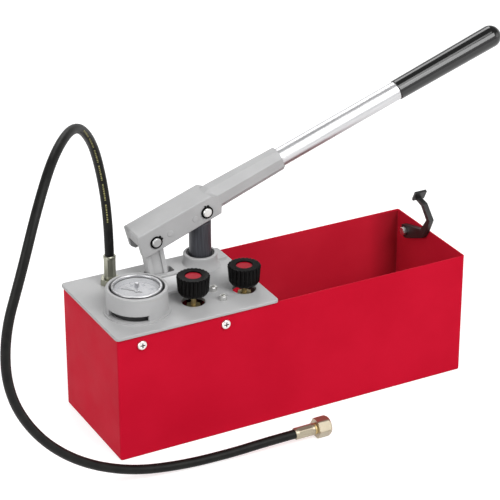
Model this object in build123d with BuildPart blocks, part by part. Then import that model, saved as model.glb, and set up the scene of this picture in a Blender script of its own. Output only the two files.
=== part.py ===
from build123d import *
import math
import os

# Hand pump for hydrostatic tests: a steel water tank with a cast top plate that carries
# a gauge, two valves and a piston pump with its hand lever. Millimetres, Z up, X along
# the tank, front face towards -Y. The origin is the middle of the tank's underside.

# Fits, cuts and small edges shared by all pieces
fit_play = 0.05
side_play = 0.3
fit_edge = 0.5
overrun = 1

# Tank
tank_length = 500
tank_depth = 166
tank_height = 170
tank_wall = 1.5
tank_corner = 3
tank_foot_edge = 2.5

# Cast top plate
plate_length = 224
plate_thickness = 4
plate_overhang = 2
plate_corner = 5
plate_edge = 1
skirt_gap = 0.5
skirt_wall = 4
skirt_depth = 20
skirt_corner = 2
casting_edge = 1.5

# Screws that hold the plate in the tank's long walls
wall_screw_reaches = (32, 147)
wall_screw_drop = 12.7
wall_screw_size = 6
wall_screw_hole = 6.6
wall_screw_head = 12.5
wall_screw_head_height = 3.5
wall_screw_head_edge = 2
wall_screw_length = 14
wall_screw_cross = 6.5
wall_screw_cross_width = 1.5
wall_screw_cross_depth = 1.8
wall_boss = 12
wall_boss_length = 10

# Gauge cup on the plate
gauge_reach = 53
gauge_y = -27
cup_outside = 77.7
cup_bore = 70
cup_rise = 33
cup_foot = 84
cup_foot_height = 2
cup_floor_hole = 50
cup_slot_height = 8
cup_slot_start = 180
cup_slot_sweep = 87

# Pump collar, cylinder and piston
pump_reach = 179.4
pump_y = 50
collar_outside = 44.4
collar_flare = 4.4
collar_flare_rise = 11
collar_rise = 17.8
collar_edge = 1.2
collar_bore = 37
collar_throat = 30
throat_thickness = 2
seal_height = 8
wiper_recess = 0.8
wiper_edge = 1
cylinder_outside = 38
cylinder_bore = 30
cylinder_foot = 30
cylinder_socket_depth = 8
cylinder_boss = 50
piston_size = 29
piston_foot = 73
piston_shoulder_drop = 19.6
piston_shoulder_edge = 1
piston_head = 26
piston_bore = 16
piston_bore_depth = 90
piston_ring_rise = 4
piston_ring_height = 4.8
piston_ring_groove = 25
rib_width = 3
rib_height = 3
rib_end_gap = 5

# Foot valve and strainer under the cylinder
foot_size = 44
foot_bottom = 12
foot_socket = 4
foot_edge = 1.5
foot_chamber = 12
foot_chamber_floor = 18
foot_inlet = 7
ball_size = 10
outlet_height = 23
outlet_bore = 5
strainer_size = 40
strainer_wall = 2
strainer_bottom = 4
strainer_slots = 12
strainer_slot_width = 3
strainer_slot_height = 4

# Valve block under the plate
shutoff_reach = 124.7
shutoff_y = -39.2
drain_valve_reach = 197.1
drain_y = -38
valve_hole = 30
block_drop = 18
block_height = 28
arm_width = 20
arm_end = 26
block_reach = 160
block_width = 24
block_front_y = -60
block_back_y = -16
block_edge = 1
block_screw_y = (-24.4, -52)
block_screw_size = 6
block_screw_head = 10
block_screw_head_height = 6
block_screw_socket = 5
block_screw_socket_depth = 3
block_screw_reach = 14
block_boss = 14
spindle_size = 6.7
spindle_drop = 34
spindle_tip = 3
seat_bore = 4
gland_flats = 17
gland_height = 14
riser_chamber = 9
riser_seat_bore = 4
riser_ball_size = 7
riser_chamber_height = 12
riser_seat_height = 5
flow_bore = 5

# Knobs of the two valves
knob_rise = 10.4
knob_height = 26.6
knob_foot_radius = 13.4
knob_waist_radius = 17.4
knob_waist_rise = 1.8
knob_side_radius = 19.6
knob_side_rise = 5.6
knob_rim_radius = 21
knob_rim_drop = 3
knob_face_radius = 19.3
knob_rim_bulge = 0.7
knob_flutes = 24
knob_flute_size = 4.6
knob_flute_ring = 42
knob_recess = 21.4
knob_recess_depth = 4
knob_socket_rise = 15.6
knob_cap_thickness = 2.5
knob_cap_gap = 0.3
knob_cap_edge = 0.6
knob_screw_size = 4
knob_screw_head = 8
knob_screw_head_height = 2.6
knob_screw_length = 16
knob_screw_socket = 3
drain_sink = 2.9

# Pipes inside the tank
pipe_size = 8
pipe_bore = 5
pipe_bend = 12
pipe_drop = 38
pipe_nut_flats = 14
pipe_nut_height = 8
port_boss = 14
port_reach = 24
foot_port_reach = 27
bottom_port_depth = 6
drain_reach = 24
drain_drop = 42

# Gauge
gauge_case = 61.5
gauge_case_rise = 30
gauge_case_floor = 2
gauge_bore = 55
gauge_ledge = 56.9
gauge_ledge_drop = 5.6
gauge_stem_hole = 15
bezel_outside = 64
bezel_window = 57
bezel_rise = 34
bezel_skirt = 6
bezel_edge = 1.2
glass_thickness = 1.2
glass_gap = 0.1
dial_size = 56.6
dial_thickness = 0.8
needle_length = 21
needle_tail = 7
needle_width = 0.9
needle_hub = 6
needle_thickness = 0.5
needle_lift = 0.5
needle_pivot = 1.6
needle_pivot_length = 6
needle_point = 0.3
needle_rest = 131
pointer_rest = 111
pointer_length = 20
pointer_width = 1.2
pointer_thickness = 0.4
pointer_lift = 1.3
pointer_pivot = 2
pointer_knob = 5.3
pointer_knob_height = 6.5
pointer_knob_gap = 0.3
stem_size = 14
stem_drop = 18
stem_block_size = 14
stem_block_rise = 16
stem_block_reach = 21
bourdon_ring = 38
bourdon_wall = 4
bourdon_height = 8
bourdon_rise = 6
bourdon_start = 25
bourdon_sweep = 270
movement_length = 24
movement_width = 14

# Link slot, raised pad and the ears that hold the link's lower pin
slot_start = 101.5
slot_end = 139
slot_width = 16
slot_corner = 3
rim_start = 98
rim_end = 166
rim_width = 28
rim_height = 4
rim_corner = 4
pad_start = 93
pad_end = 144
pad_front = -9
pad_back = 31
pad_height = 4
pad_corner = 4
pad_edge = 1.8
ear_thickness = 10
ear_start = 104
ear_end = 136
ear_drop = 24
ear_corner = 6

# Lever linkage: rear pin, front pin and lower pin, at rest
rear_pin_reach = 107.47
rear_pin_rise = 56.56
front_pin_rise = 82.6
lower_pin_reach = 120.2
lower_pin_drop = 16
pin_size = 12
pin_length = 47
pin_edge = 0.8
lower_pin_size = 9
lever_angle = 19.1

# Lever casting, in its own frame: along the lever, and square to it
lever_width = 41
lever_rear = -23
lever_rear_top = -21
lever_top_rear = 19.9
lever_top_front = 19.8
lever_front = 99.6
lever_front_low = 95
lever_slope_start = 87.5
lever_slope_end = 11
lever_lip = 4
lever_lip_low = 5
lever_bottom_rear = -14.5
lever_bottom_front = -12.2
lever_rear_low = -18.4
lever_rear_chamfer = -8.9
lever_front_chamfer = -3.7
lever_plan_start = 91
lever_plan_width = 33
lever_edge = 2.2
channel_width = 28
channel_ceiling = 16
channel_front = 92
socket_axis = 4.8
socket_sides = 8
socket_heel = 80
socket_heel_size = 28
socket_start = 94
socket_root = 33.2
socket_mouth = 29.4
socket_end = 198.5
ejector_mark_x = (21, 59)
ejector_mark_rise = 0.6
ejector_mark_size = 8
ejector_mark_height = 0.4
tube_size = 25
tube_bore = 21
tube_start = 120
grip_start = 384
grip_end = 552.3
grip_root = 27.3
grip_tip = 30
grip_wall = 10
grip_lip = 1.5

# Circlips on the lever's pins
circlip_bore = 12.1
circlip_ring = 16.6
circlip_thickness = 1
circlip_gap = 0.9
circlip_lug = 3
circlip_lug_hole = 1.2
circlip_offset = 0.4
rear_clip_angle = 40
front_clip_angle = 95

# Link between lever and plate
link_width = 25
link_thickness = 15
link_hub_width = 27.4
link_foot = 11
link_foot_corner = 5
link_recess_width = 14
link_recess_depth = 2.2
link_recess_start = 14
link_recess_end = 57
link_recess_corner = 2
link_slot_left = 10.6
link_slot_right = 5.4
link_slot_low = 6.7
link_slot_high = 5.1
link_slot_corner = 4

# Hose union on the plate
union_reach = 54
union_y = 55.5
union_flats = 23
union_hex_height = 8
union_thread = 16
union_bore = 7
union_drop = 18
locknut_flats = 22
locknut_height = 8
ferrule_size = 16
ferrule_rise = 40
ferrule_edge = 1
ferrule_crimps = 8
ferrule_crimp_depth = 0.5
ferrule_crimp_margin = 4

# Hose: chosen points of its route, from the union round to the floor in front
hose_size = 12
hose_bore = 6
hose_share = 0.45
hose_rise = 44
hose_loop = [
    (-203, 53.5, 321),
    (-224.5, 32.5, 387),
    (-265, -12.5, 432),
    (-316, -70.5, 428.5),
    (-359.5, -118, 386.5),
    (-393, -145, 323.5),
    (-420, -150, 252),
    (-418.5, -146.5, 175.5),
    (-385.5, -140.5, 106.5),
    (-332, -135, 52),
    (-264, -133, 17.5),
    (-195, -136, 7),
    (-125, -141, 8),
    (-80, -145.5, 13),
    (-38.5, -145.5, 13),
]

# Fitting on the hose's free end, lying along X
end_x = -38.5
end_y = -145.5
end_z = 13
end_ferrule_size = 15.5
end_ferrule_length = 27.7
tail_collar = 14.5
tail_collar_length = 2.5
tail_neck = 10
tail_flange = 17.4
tail_flange_thickness = 3
tail_bore = 6
union_nut_flats = 24
union_nut_turned = 26.8
union_nut_length = 18.3
union_nut_wall = 4
union_nut_bore = 18
union_nut_relief = 18.4
union_nut_thread = 8.8
union_nut_chamfer = 1.5
gasket_thickness = 2
gasket_bore = 8

# Lever hook in the tank's right end
hook_y = 50
hook_drop = 18
hook_thickness = 7
hook_size = 60
hook_bore = 6.1
hook_corner = 1.5
hook_screw_size = 6
hook_screw_head = 11
hook_screw_head_height = 3
hook_screw_recess = 5.5
hook_screw_recess_depth = 1.6
hook_nut_flats = 10
hook_nut_height = 5
hook_head_width = 17.4

# Outline of the hook's arm, from its pivot, as shares of the hook's size
hook_arm_shares = [
    (0.14, -0.16),
    (-0.04, -0.17),
    (-0.71, 0.115),
    (-0.84, 0.325),
    (-0.985, 0.645),
    (-0.7, 0.945),
    (-0.47, 0.99),
    (-0.345, 0.95),
    (-0.62, 0.874),
    (-0.85, 0.615),
    (-0.63, 0.3),
    (-0.1, 0.17),
    (0.16, 0.1),
]
hook_head_shares = [(-0.42, 0.935), (-0.53, 1.15), (-0.475, 1.175), (-0.365, 0.95)]

# Levels and places worked out from the sizes above
left_end = -tank_length / 2
plate_top = tank_height + plate_thickness
cup_top = plate_top + cup_rise
collar_top = plate_top + collar_rise
knob_foot = plate_top + knob_rise
gauge_case_top = plate_top + gauge_case_rise
bezel_top = plate_top + bezel_rise
stem_block_top = plate_top + stem_block_rise
bourdon_floor = plate_top + bourdon_rise
rear_pin_z = plate_top + rear_pin_rise
front_pin_z = plate_top + front_pin_rise
ferrule_top = plate_top + ferrule_rise
block_top = plate_top - block_drop
spindle_foot = plate_top - spindle_drop
pipe_level = plate_top - pipe_drop
stem_foot = plate_top - stem_drop
lower_pin_z = plate_top - lower_pin_drop
union_foot = plate_top - union_drop
knob_top = knob_foot + knob_height
hook_z = tank_height - hook_drop
gauge_x = left_end + gauge_reach
pump_x = left_end + pump_reach
shutoff_x = left_end + shutoff_reach
drain_x = left_end + drain_valve_reach
block_centre_x = left_end + block_reach
slot_left = left_end + slot_start
slot_right = left_end + slot_end
rim_left = left_end + rim_start
rim_right = left_end + rim_end
pad_left = left_end + pad_start
pad_right = left_end + pad_end
ear_left = left_end + ear_start
ear_right = left_end + ear_end
rear_pin_x = left_end + rear_pin_reach
lower_pin_x = left_end + lower_pin_reach
union_x = left_end + union_reach
wall_screw_x = [left_end + reach for reach in wall_screw_reaches]
hose_route = [
    (union_x, union_y, ferrule_top),
    (union_x, union_y, ferrule_top + hose_rise),
    *hose_loop,
]
collar_radius = collar_outside / 2
plate_x = -tank_length / 2 - plate_overhang + plate_length / 2
plate_width = tank_depth + 2 * plate_overhang
rib_end = plate_x + plate_length / 2 - rib_end_gap
ear_reach = link_thickness / 2 + side_play + ear_thickness
skirt_length = plate_length - 2 * (plate_overhang + tank_wall + skirt_gap)
skirt_width = tank_depth - 2 * (tank_wall + skirt_gap)
skirt_bottom = tank_height - skirt_depth
wall_screw_z = tank_height - wall_screw_drop
throat_floor = tank_height + cylinder_socket_depth
seal_floor = throat_floor + throat_thickness
piston_shoulder = front_pin_z - piston_shoulder_drop
suction_ball_z = foot_chamber_floor + math.sqrt(ball_size**2 - foot_inlet**2) / 2 + fit_play
block_bottom = block_top - block_height
block_y = (block_front_y + block_back_y) / 2
riser_seat = block_bottom + riser_seat_height
pressure_ball_z = riser_seat + math.sqrt(riser_ball_size**2 - riser_seat_bore**2) / 2 + fit_play
knob_recess_floor = knob_top - knob_recess_depth
knob_screw_seat = knob_recess_floor - knob_screw_head_height
knob_socket_top = knob_foot + knob_socket_rise
glass_floor = gauge_case_top
dial_floor = gauge_case_top - gauge_ledge_drop
dial_top = dial_floor + dial_thickness
pointer_knob_floor = glass_floor + glass_thickness + pointer_knob_gap
gauge_centre = (gauge_x, gauge_y)
pump_centre = (pump_x, pump_y)
shutoff_centre = (shutoff_x, shutoff_y)
drain_centre = (drain_x, drain_y)
valve_centres = [shutoff_centre, drain_centre]
block_screw_centres = [(block_centre_x, y) for y in block_screw_y]
union_centre = (union_x, union_y)
pump_plane = Plane(origin=(pump_x, pump_y, 0), x_dir=(1, 0, 0), z_dir=(0, -1, 0))

clip_seat = lever_width / 2 + circlip_offset
tail_start = end_x + end_ferrule_length
union_nut_start = end_ferrule_length + tail_collar_length + side_play
union_nut_end = end_x + union_nut_start + union_nut_length
tail_length_to_face = (
    union_nut_start + union_nut_wall + side_play + tail_flange_thickness
)
tail_flange_start = end_x + union_nut_start + union_nut_wall + side_play
hook_face = tank_length / 2 - tank_wall - side_play - hook_thickness
hook_screw_length = tank_length / 2 - hook_face + side_play + hook_nut_height
octagon_turn = 180 / socket_sides
quarter_turn = 90
end_axis = Axis((end_x, end_y, end_z), (1, 0, 0))

# Frames of the lever and of the link, both seen from the front
lever_tilt = math.radians(lever_angle)
lever_plane = Plane(
    origin=(rear_pin_x, pump_y, rear_pin_z),
    x_dir=(math.cos(lever_tilt), 0, math.sin(lever_tilt)),
    z_dir=(0, -1, 0),
)
lever_plan = Plane(lever_plane.origin, x_dir=lever_plane.x_dir, z_dir=lever_plane.y_dir)
lever_section = Plane(lever_plane.origin, x_dir=(0, 1, 0), z_dir=lever_plane.x_dir)
tube_axis = Axis(lever_plane.from_local_coords(Vector(0, socket_axis, 0)), lever_plane.x_dir)
front_pin_at = lever_plane.to_local_coords(Vector(pump_x, pump_y, front_pin_z))
link_rise = rear_pin_z - lower_pin_z
link_run = rear_pin_x - lower_pin_x
link_length = math.hypot(link_rise, link_run)
link_plane = Plane(
    origin=(lower_pin_x, pump_y, lower_pin_z),
    x_dir=(link_rise, 0, -link_run),
    z_dir=(0, -1, 0),
)


def save(piece, name, sink=0):
    """Label a finished piece and write it to its own file, lowered where it is screwed in."""
    shape = piece.part.moved(Location((0, 0, -sink))) if sink else piece.part
    shape.label = name
    export_step(shape, f"parts/{name}.step")


def turned_plane(centre, level, angle):
    """Level plane over a centre, with its X turned about the vertical."""
    turned = math.radians(angle)
    return Plane(
        origin=(*centre, level),
        x_dir=(math.cos(turned), math.sin(turned), 0),
        z_dir=(0, 0, 1),
    )


def port_plane(centre, level, direction, reach):
    """Face of a port, at a distance from a centre line, looking away from it."""
    out = Vector(*direction).normalized()
    start = Vector(centre[0], centre[1], level) + out * reach
    side = (0, 0, 1) if abs(out.Z) < abs(out.X) + abs(out.Y) else (1, 0, 0)
    return Plane(origin=start, x_dir=side, z_dir=out)


os.makedirs("parts", exist_ok=True)

# Ports of the valve block and the foot valve
to_gauge = Vector(gauge_x - shutoff_x, gauge_y - shutoff_y, 0)
to_union = Vector(union_x - shutoff_x, union_y - shutoff_y, 0)
to_riser = Vector(block_centre_x - pump_x, block_y - pump_y, 0)
gauge_port = port_plane(shutoff_centre, pipe_level, (to_gauge.X, to_gauge.Y, 0), port_reach)
union_port = port_plane(shutoff_centre, pipe_level, (to_union.X, to_union.Y, 0), port_reach)
drain_port = port_plane(drain_centre, pipe_level, (1, 0, 0), port_reach)
riser_port = port_plane((block_centre_x, block_y), block_bottom, (0, 0, -1), bottom_port_depth)
pump_port = port_plane(pump_centre, outlet_height, (to_riser.X, to_riser.Y, 0), foot_port_reach)
gallery = Vector(shutoff_x - drain_x, shutoff_y - drain_y, 0)
gallery_length = gallery.length
gallery_plane = port_plane(drain_centre, pipe_level, (gallery.X, gallery.Y, 0), 0)
stem_port = port_plane(gauge_centre, stem_foot, (0, 0, -1), 0)
union_foot_port = port_plane(union_centre, union_foot, (0, 0, -1), 0)

# Tank: an open steel box with holes for the plate's screws and the hook's screw
with BuildPart() as tank:
    with BuildSketch(Plane.XY):
        RectangleRounded(tank_length, tank_depth, tank_corner)
    extrude(amount=tank_height)
    fillet(tank.faces().sort_by(Axis.Z)[0].edges(), radius=tank_foot_edge)
    offset(amount=-tank_wall, openings=tank.faces().sort_by(Axis.Z)[-1])
    with BuildSketch(Plane.XZ):
        with Locations([(x, wall_screw_z) for x in wall_screw_x]):
            Circle(wall_screw_hole / 2)
    extrude(amount=tank_depth, both=True, mode=Mode.SUBTRACT)
    with BuildSketch(Plane.YZ.offset(tank_length / 2 - tank_wall - overrun)):
        with Locations((hook_y, hook_z)):
            Circle(wall_screw_hole / 2)
    extrude(amount=tank_wall + 2 * overrun, mode=Mode.SUBTRACT)
save(tank, "tank")

# Top plate: one casting with skirt, screw bosses, gauge cup, pump collar and link slot
with BuildPart() as top_plate:
    with BuildSketch(Plane.XY.offset(tank_height)):
        with Locations((plate_x, 0)):
            RectangleRounded(plate_length, plate_width, plate_corner)
    extrude(amount=plate_thickness)
    fillet(top_plate.faces().sort_by(Axis.Z)[-1].edges(), radius=plate_edge)
    with BuildSketch(Plane.XY.offset(skirt_bottom)):
        with Locations((plate_x, 0)):
            RectangleRounded(skirt_length, skirt_width, skirt_corner)
            Rectangle(
                skirt_length - 2 * skirt_wall,
                skirt_width - 2 * skirt_wall,
                mode=Mode.SUBTRACT,
            )
    extrude(amount=skirt_depth)
    for side in (-1, 1):
        with BuildSketch(Plane.XZ.offset(side * (skirt_width / 2 - skirt_wall))):
            with Locations([(x, wall_screw_z) for x in wall_screw_x]):
                Circle(wall_boss / 2)
        extrude(amount=-side * wall_boss_length)
    with BuildSketch(Plane.XY.offset(plate_top)):
        with Locations(((pad_left + pad_right) / 2, (pad_front + pad_back) / 2)):
            RectangleRounded(pad_right - pad_left, pad_back - pad_front, pad_corner)
    extrude(amount=pad_height)
    fillet(top_plate.faces().sort_by(Axis.Z)[-1].edges(), radius=pad_edge)
    with BuildSketch(Plane.XY.offset(plate_top)):
        with Locations(((rim_left + rim_right) / 2, pump_y)):
            RectangleRounded(rim_right - rim_left, rim_width, rim_corner)
    extrude(amount=rim_height)
    rim_face = top_plate.faces().group_by(Axis.Z)[-1].sort_by(Axis.Y)[-1]
    fillet(rim_face.edges(), radius=casting_edge)
    with BuildSketch(Plane.XY.offset(plate_top)):
        with Locations(gauge_centre):
            Circle(cup_foot / 2)
    extrude(amount=cup_foot_height)
    with BuildSketch(Plane.XY.offset(plate_top)):
        with Locations(gauge_centre):
            Circle(cup_outside / 2)
    extrude(amount=cup_top - plate_top)
    fillet(top_plate.faces().sort_by(Axis.Z)[-1].edges(), radius=casting_edge)
    with BuildSketch(pump_plane):
        with BuildLine():
            Line((0, plate_top), (collar_radius + collar_flare, plate_top))
            TangentArc(
                (collar_radius, plate_top + collar_flare_rise),
                (collar_radius + collar_flare, plate_top),
                tangent=(0, -1),
            )
            Polyline(
                (collar_radius, plate_top + collar_flare_rise),
                (collar_radius, collar_top - collar_edge),
                (collar_radius - collar_edge, collar_top),
                (0, collar_top),
                (0, plate_top),
            )
        make_face()
    revolve(axis=Axis((pump_x, pump_y, 0), (0, 0, 1)))
    with BuildSketch(Plane.XY.offset(skirt_bottom)):
        with Locations(pump_centre):
            Circle(cylinder_boss / 2)
    extrude(amount=skirt_depth)
    with BuildSketch(Plane.XY.offset(block_top)):
        with Locations(block_screw_centres):
            Circle(block_boss / 2)
    extrude(amount=tank_height - block_top)
    with BuildSketch(Plane.XY.offset(plate_top)):
        with Locations(((pump_x + rib_end) / 2, pump_y)):
            Rectangle(rib_end - pump_x, rib_width)
    extrude(amount=rib_height)
    for side in (-1, 1):
        ear_face = pump_y + side * (link_thickness / 2 + side_play)
        with BuildSketch(Plane.XZ.offset(-ear_face)) as ear:
            with Locations(((ear_left + ear_right) / 2, tank_height - ear_drop / 2)):
                Rectangle(ear_right - ear_left, ear_drop)
            fillet(ear.vertices().group_by(Axis.Y)[0], radius=ear_corner)
        extrude(amount=-side * ear_thickness)
    with BuildSketch(Plane.XY.offset(plate_top)):
        with Locations(gauge_centre):
            Circle(cup_bore / 2)
    extrude(amount=cup_top, mode=Mode.SUBTRACT)
    with BuildSketch(Plane.XY.offset(tank_height - overrun)):
        with Locations(gauge_centre):
            Circle(cup_floor_hole / 2)
        with Locations(valve_centres):
            Circle(valve_hole / 2)
        with Locations(union_centre):
            Circle(union_thread / 2 + fit_play)
    extrude(amount=plate_thickness + 2 * overrun, mode=Mode.SUBTRACT)
    with BuildSketch(Plane.XY.offset(plate_top + cup_foot_height)):
        with BuildLine():
            slot_arc = CenterArc(gauge_centre, cup_foot / 2, cup_slot_start, cup_slot_sweep)
            Line(slot_arc @ 1, gauge_centre)
            Line(gauge_centre, slot_arc @ 0)
        make_face()
    extrude(amount=cup_slot_height, mode=Mode.SUBTRACT)
    with BuildSketch(Plane.XY.offset(skirt_bottom)):
        with Locations(pump_centre):
            Circle(cylinder_outside / 2 + fit_play)
    extrude(amount=throat_floor - skirt_bottom, mode=Mode.SUBTRACT)
    with BuildSketch(Plane.XY.offset(throat_floor)):
        with Locations(pump_centre):
            Circle(collar_throat / 2)
    extrude(amount=collar_top, mode=Mode.SUBTRACT)
    with BuildSketch(Plane.XY.offset(seal_floor)):
        with Locations(pump_centre):
            Circle(collar_bore / 2)
    extrude(amount=collar_top, mode=Mode.SUBTRACT)
    with BuildSketch(Plane.XY.offset(tank_height)):
        with Locations(((slot_left + slot_right) / 2, pump_y)):
            RectangleRounded(slot_right - slot_left, slot_width, slot_corner)
    extrude(amount=plate_thickness + rim_height + overrun, mode=Mode.SUBTRACT)
    with BuildSketch(Plane.XY.offset(block_top)):
        with Locations(block_screw_centres):
            Circle(block_screw_size / 2 + fit_play)
    extrude(amount=collar_top - block_top, mode=Mode.SUBTRACT)
    with BuildSketch(Plane.XZ):
        with Locations([(x, wall_screw_z) for x in wall_screw_x]):
            Circle(wall_screw_size / 2 + fit_play)
    extrude(amount=tank_depth, both=True, mode=Mode.SUBTRACT)
    with BuildSketch(Plane.XZ.offset(-pump_y)):
        with Locations((lower_pin_x, lower_pin_z)):
            Circle(lower_pin_size / 2 + fit_play)
    extrude(amount=ear_reach + overrun, both=True, mode=Mode.SUBTRACT)
save(top_plate, "top_plate")

# Four pan-head screws with a cross recess, through the tank wall into the plate's bosses
with BuildPart() as plate_screws:
    for side in (-1, 1):
        wall_face = Plane.XZ.offset(-side * tank_depth / 2)
        with BuildSketch(wall_face):
            with Locations([(x, wall_screw_z) for x in wall_screw_x]):
                Circle(wall_screw_head / 2)
        extrude(amount=-side * wall_screw_head_height)
        head_rims = plate_screws.edges().filter_by(GeomType.CIRCLE).group_by(Axis.Y)
        fillet(head_rims[0 if side < 0 else -1], radius=wall_screw_head_edge)
        with BuildSketch(wall_face):
            with Locations([(x, wall_screw_z) for x in wall_screw_x]):
                Circle(wall_screw_size / 2)
        extrude(amount=side * wall_screw_length)
        with BuildSketch(wall_face.offset(-side * wall_screw_head_height)):
            with Locations([(x, wall_screw_z) for x in wall_screw_x]):
                Rectangle(wall_screw_cross, wall_screw_cross_width)
                Rectangle(wall_screw_cross_width, wall_screw_cross)
        extrude(amount=side * wall_screw_cross_depth, mode=Mode.SUBTRACT)
save(plate_screws, "plate_screws")

# Pump cylinder: a plain tube between the foot valve and the plate
with BuildPart() as pump_cylinder:
    with BuildSketch(Plane.XY.offset(cylinder_foot)):
        with Locations(pump_centre):
            Circle(cylinder_outside / 2)
            Circle(cylinder_bore / 2, mode=Mode.SUBTRACT)
    extrude(amount=throat_floor - cylinder_foot)
save(pump_cylinder, "pump_cylinder")

# Foot valve: socket for the cylinder, ball chamber, inlet below and outlet at the side
with BuildPart() as foot_valve:
    with BuildSketch(Plane.XY.offset(foot_bottom)):
        with Locations(pump_centre):
            Circle(foot_size / 2)
    extrude(amount=cylinder_foot + foot_socket - foot_bottom)
    chamfer(foot_valve.faces().sort_by(Axis.Z)[0].edges(), length=foot_edge)
    with BuildSketch(pump_port):
        Circle(port_boss / 2)
    extrude(amount=-(foot_port_reach - foot_chamber / 2))
    with BuildSketch(Plane.XY.offset(cylinder_foot)):
        with Locations(pump_centre):
            Circle(cylinder_outside / 2 + fit_play)
    extrude(amount=foot_size, mode=Mode.SUBTRACT)
    with BuildSketch(Plane.XY.offset(foot_chamber_floor)):
        with Locations(pump_centre):
            Circle(foot_chamber / 2)
    extrude(amount=foot_size, mode=Mode.SUBTRACT)
    with BuildSketch(Plane.XY):
        with Locations(pump_centre):
            Circle(foot_inlet / 2)
    extrude(amount=foot_size, mode=Mode.SUBTRACT)
    with BuildSketch(pump_port):
        Circle(outlet_bore / 2)
    extrude(amount=-foot_port_reach, mode=Mode.SUBTRACT)
save(foot_valve, "foot_valve")

# Suction ball on the seat of the foot valve
with BuildPart() as suction_ball:
    with Locations((pump_x, pump_y, suction_ball_z)):
        Sphere(ball_size / 2)
save(suction_ball, "suction_ball")

# Strainer: a slotted cup under the foot valve
with BuildPart() as suction_strainer:
    with BuildSketch(Plane.XY.offset(strainer_bottom)):
        with Locations(pump_centre):
            Circle(strainer_size / 2)
    extrude(amount=foot_bottom - strainer_bottom)
    with BuildSketch(Plane.XY.offset(strainer_bottom + strainer_wall)):
        with Locations(pump_centre):
            Circle(strainer_size / 2 - strainer_wall)
    extrude(amount=foot_bottom, mode=Mode.SUBTRACT)
    with BuildSketch(Plane.XY.offset(foot_bottom - strainer_slot_height)):
        with Locations(pump_centre):
            with PolarLocations(strainer_size / 2, strainer_slots):
                Rectangle(2 * strainer_wall + overrun, strainer_slot_width)
    extrude(amount=strainer_slot_height - strainer_wall, mode=Mode.SUBTRACT)
save(suction_strainer, "suction_strainer")

# Rod seal and wiper in the plate's collar
with BuildPart() as rod_seal:
    with BuildSketch(Plane.XY.offset(seal_floor)):
        with Locations(pump_centre):
            Circle(collar_bore / 2 - fit_play)
            Circle(piston_size / 2 + fit_play, mode=Mode.SUBTRACT)
    extrude(amount=seal_height)
save(rod_seal, "rod_seal")

with BuildPart() as rod_wiper:
    with BuildSketch(Plane.XY.offset(seal_floor + seal_height)):
        with Locations(pump_centre):
            Circle(collar_bore / 2 - fit_play)
            Circle(piston_size / 2 + fit_play, mode=Mode.SUBTRACT)
    extrude(amount=collar_top - wiper_recess - seal_floor - seal_height)
    chamfer(rod_wiper.faces().sort_by(Axis.Z)[-1].inner_wires()[0].edges(), length=wiper_edge)
save(rod_wiper, "rod_wiper")

# Piston: a ground bar, hollow below, with a domed head for the lever's front pin
with BuildPart() as piston:
    with BuildSketch(pump_plane):
        with BuildLine():
            Polyline(
                (0, piston_foot),
                (piston_size / 2, piston_foot),
                (piston_size / 2, piston_shoulder - piston_shoulder_edge),
                (piston_size / 2 - piston_shoulder_edge, piston_shoulder),
                (piston_head / 2, piston_shoulder),
                (piston_head / 2, front_pin_z),
            )
            CenterArc((0, front_pin_z), piston_head / 2, start_angle=0, arc_size=quarter_turn)
            Line((0, front_pin_z + piston_head / 2), (0, piston_foot))
        make_face()
    revolve(axis=Axis((pump_x, pump_y, 0), (0, 0, 1)))
    with BuildSketch(pump_plane):
        with Locations((0, front_pin_z)):
            Circle(pin_size / 2 + fit_play)
    extrude(amount=piston_size, both=True, mode=Mode.SUBTRACT)
    with BuildSketch(Plane.XY.offset(piston_foot + piston_ring_rise)):
        with Locations(pump_centre):
            Circle(piston_size)
            Circle(piston_ring_groove / 2, mode=Mode.SUBTRACT)
    extrude(amount=piston_ring_height, mode=Mode.SUBTRACT)
    with BuildSketch(Plane.XY.offset(piston_foot)):
        with Locations(pump_centre):
            Circle(piston_bore / 2)
    extrude(amount=piston_bore_depth, mode=Mode.SUBTRACT)
save(piston, "piston")

with BuildPart() as piston_ring:
    with BuildSketch(Plane.XY.offset(piston_foot + piston_ring_rise + fit_play)):
        with Locations(pump_centre):
            Circle(cylinder_bore / 2 - fit_play)
            Circle(piston_ring_groove / 2 + fit_play, mode=Mode.SUBTRACT)
    extrude(amount=piston_ring_height - 2 * fit_play)
save(piston_ring, "piston_ring")

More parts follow.
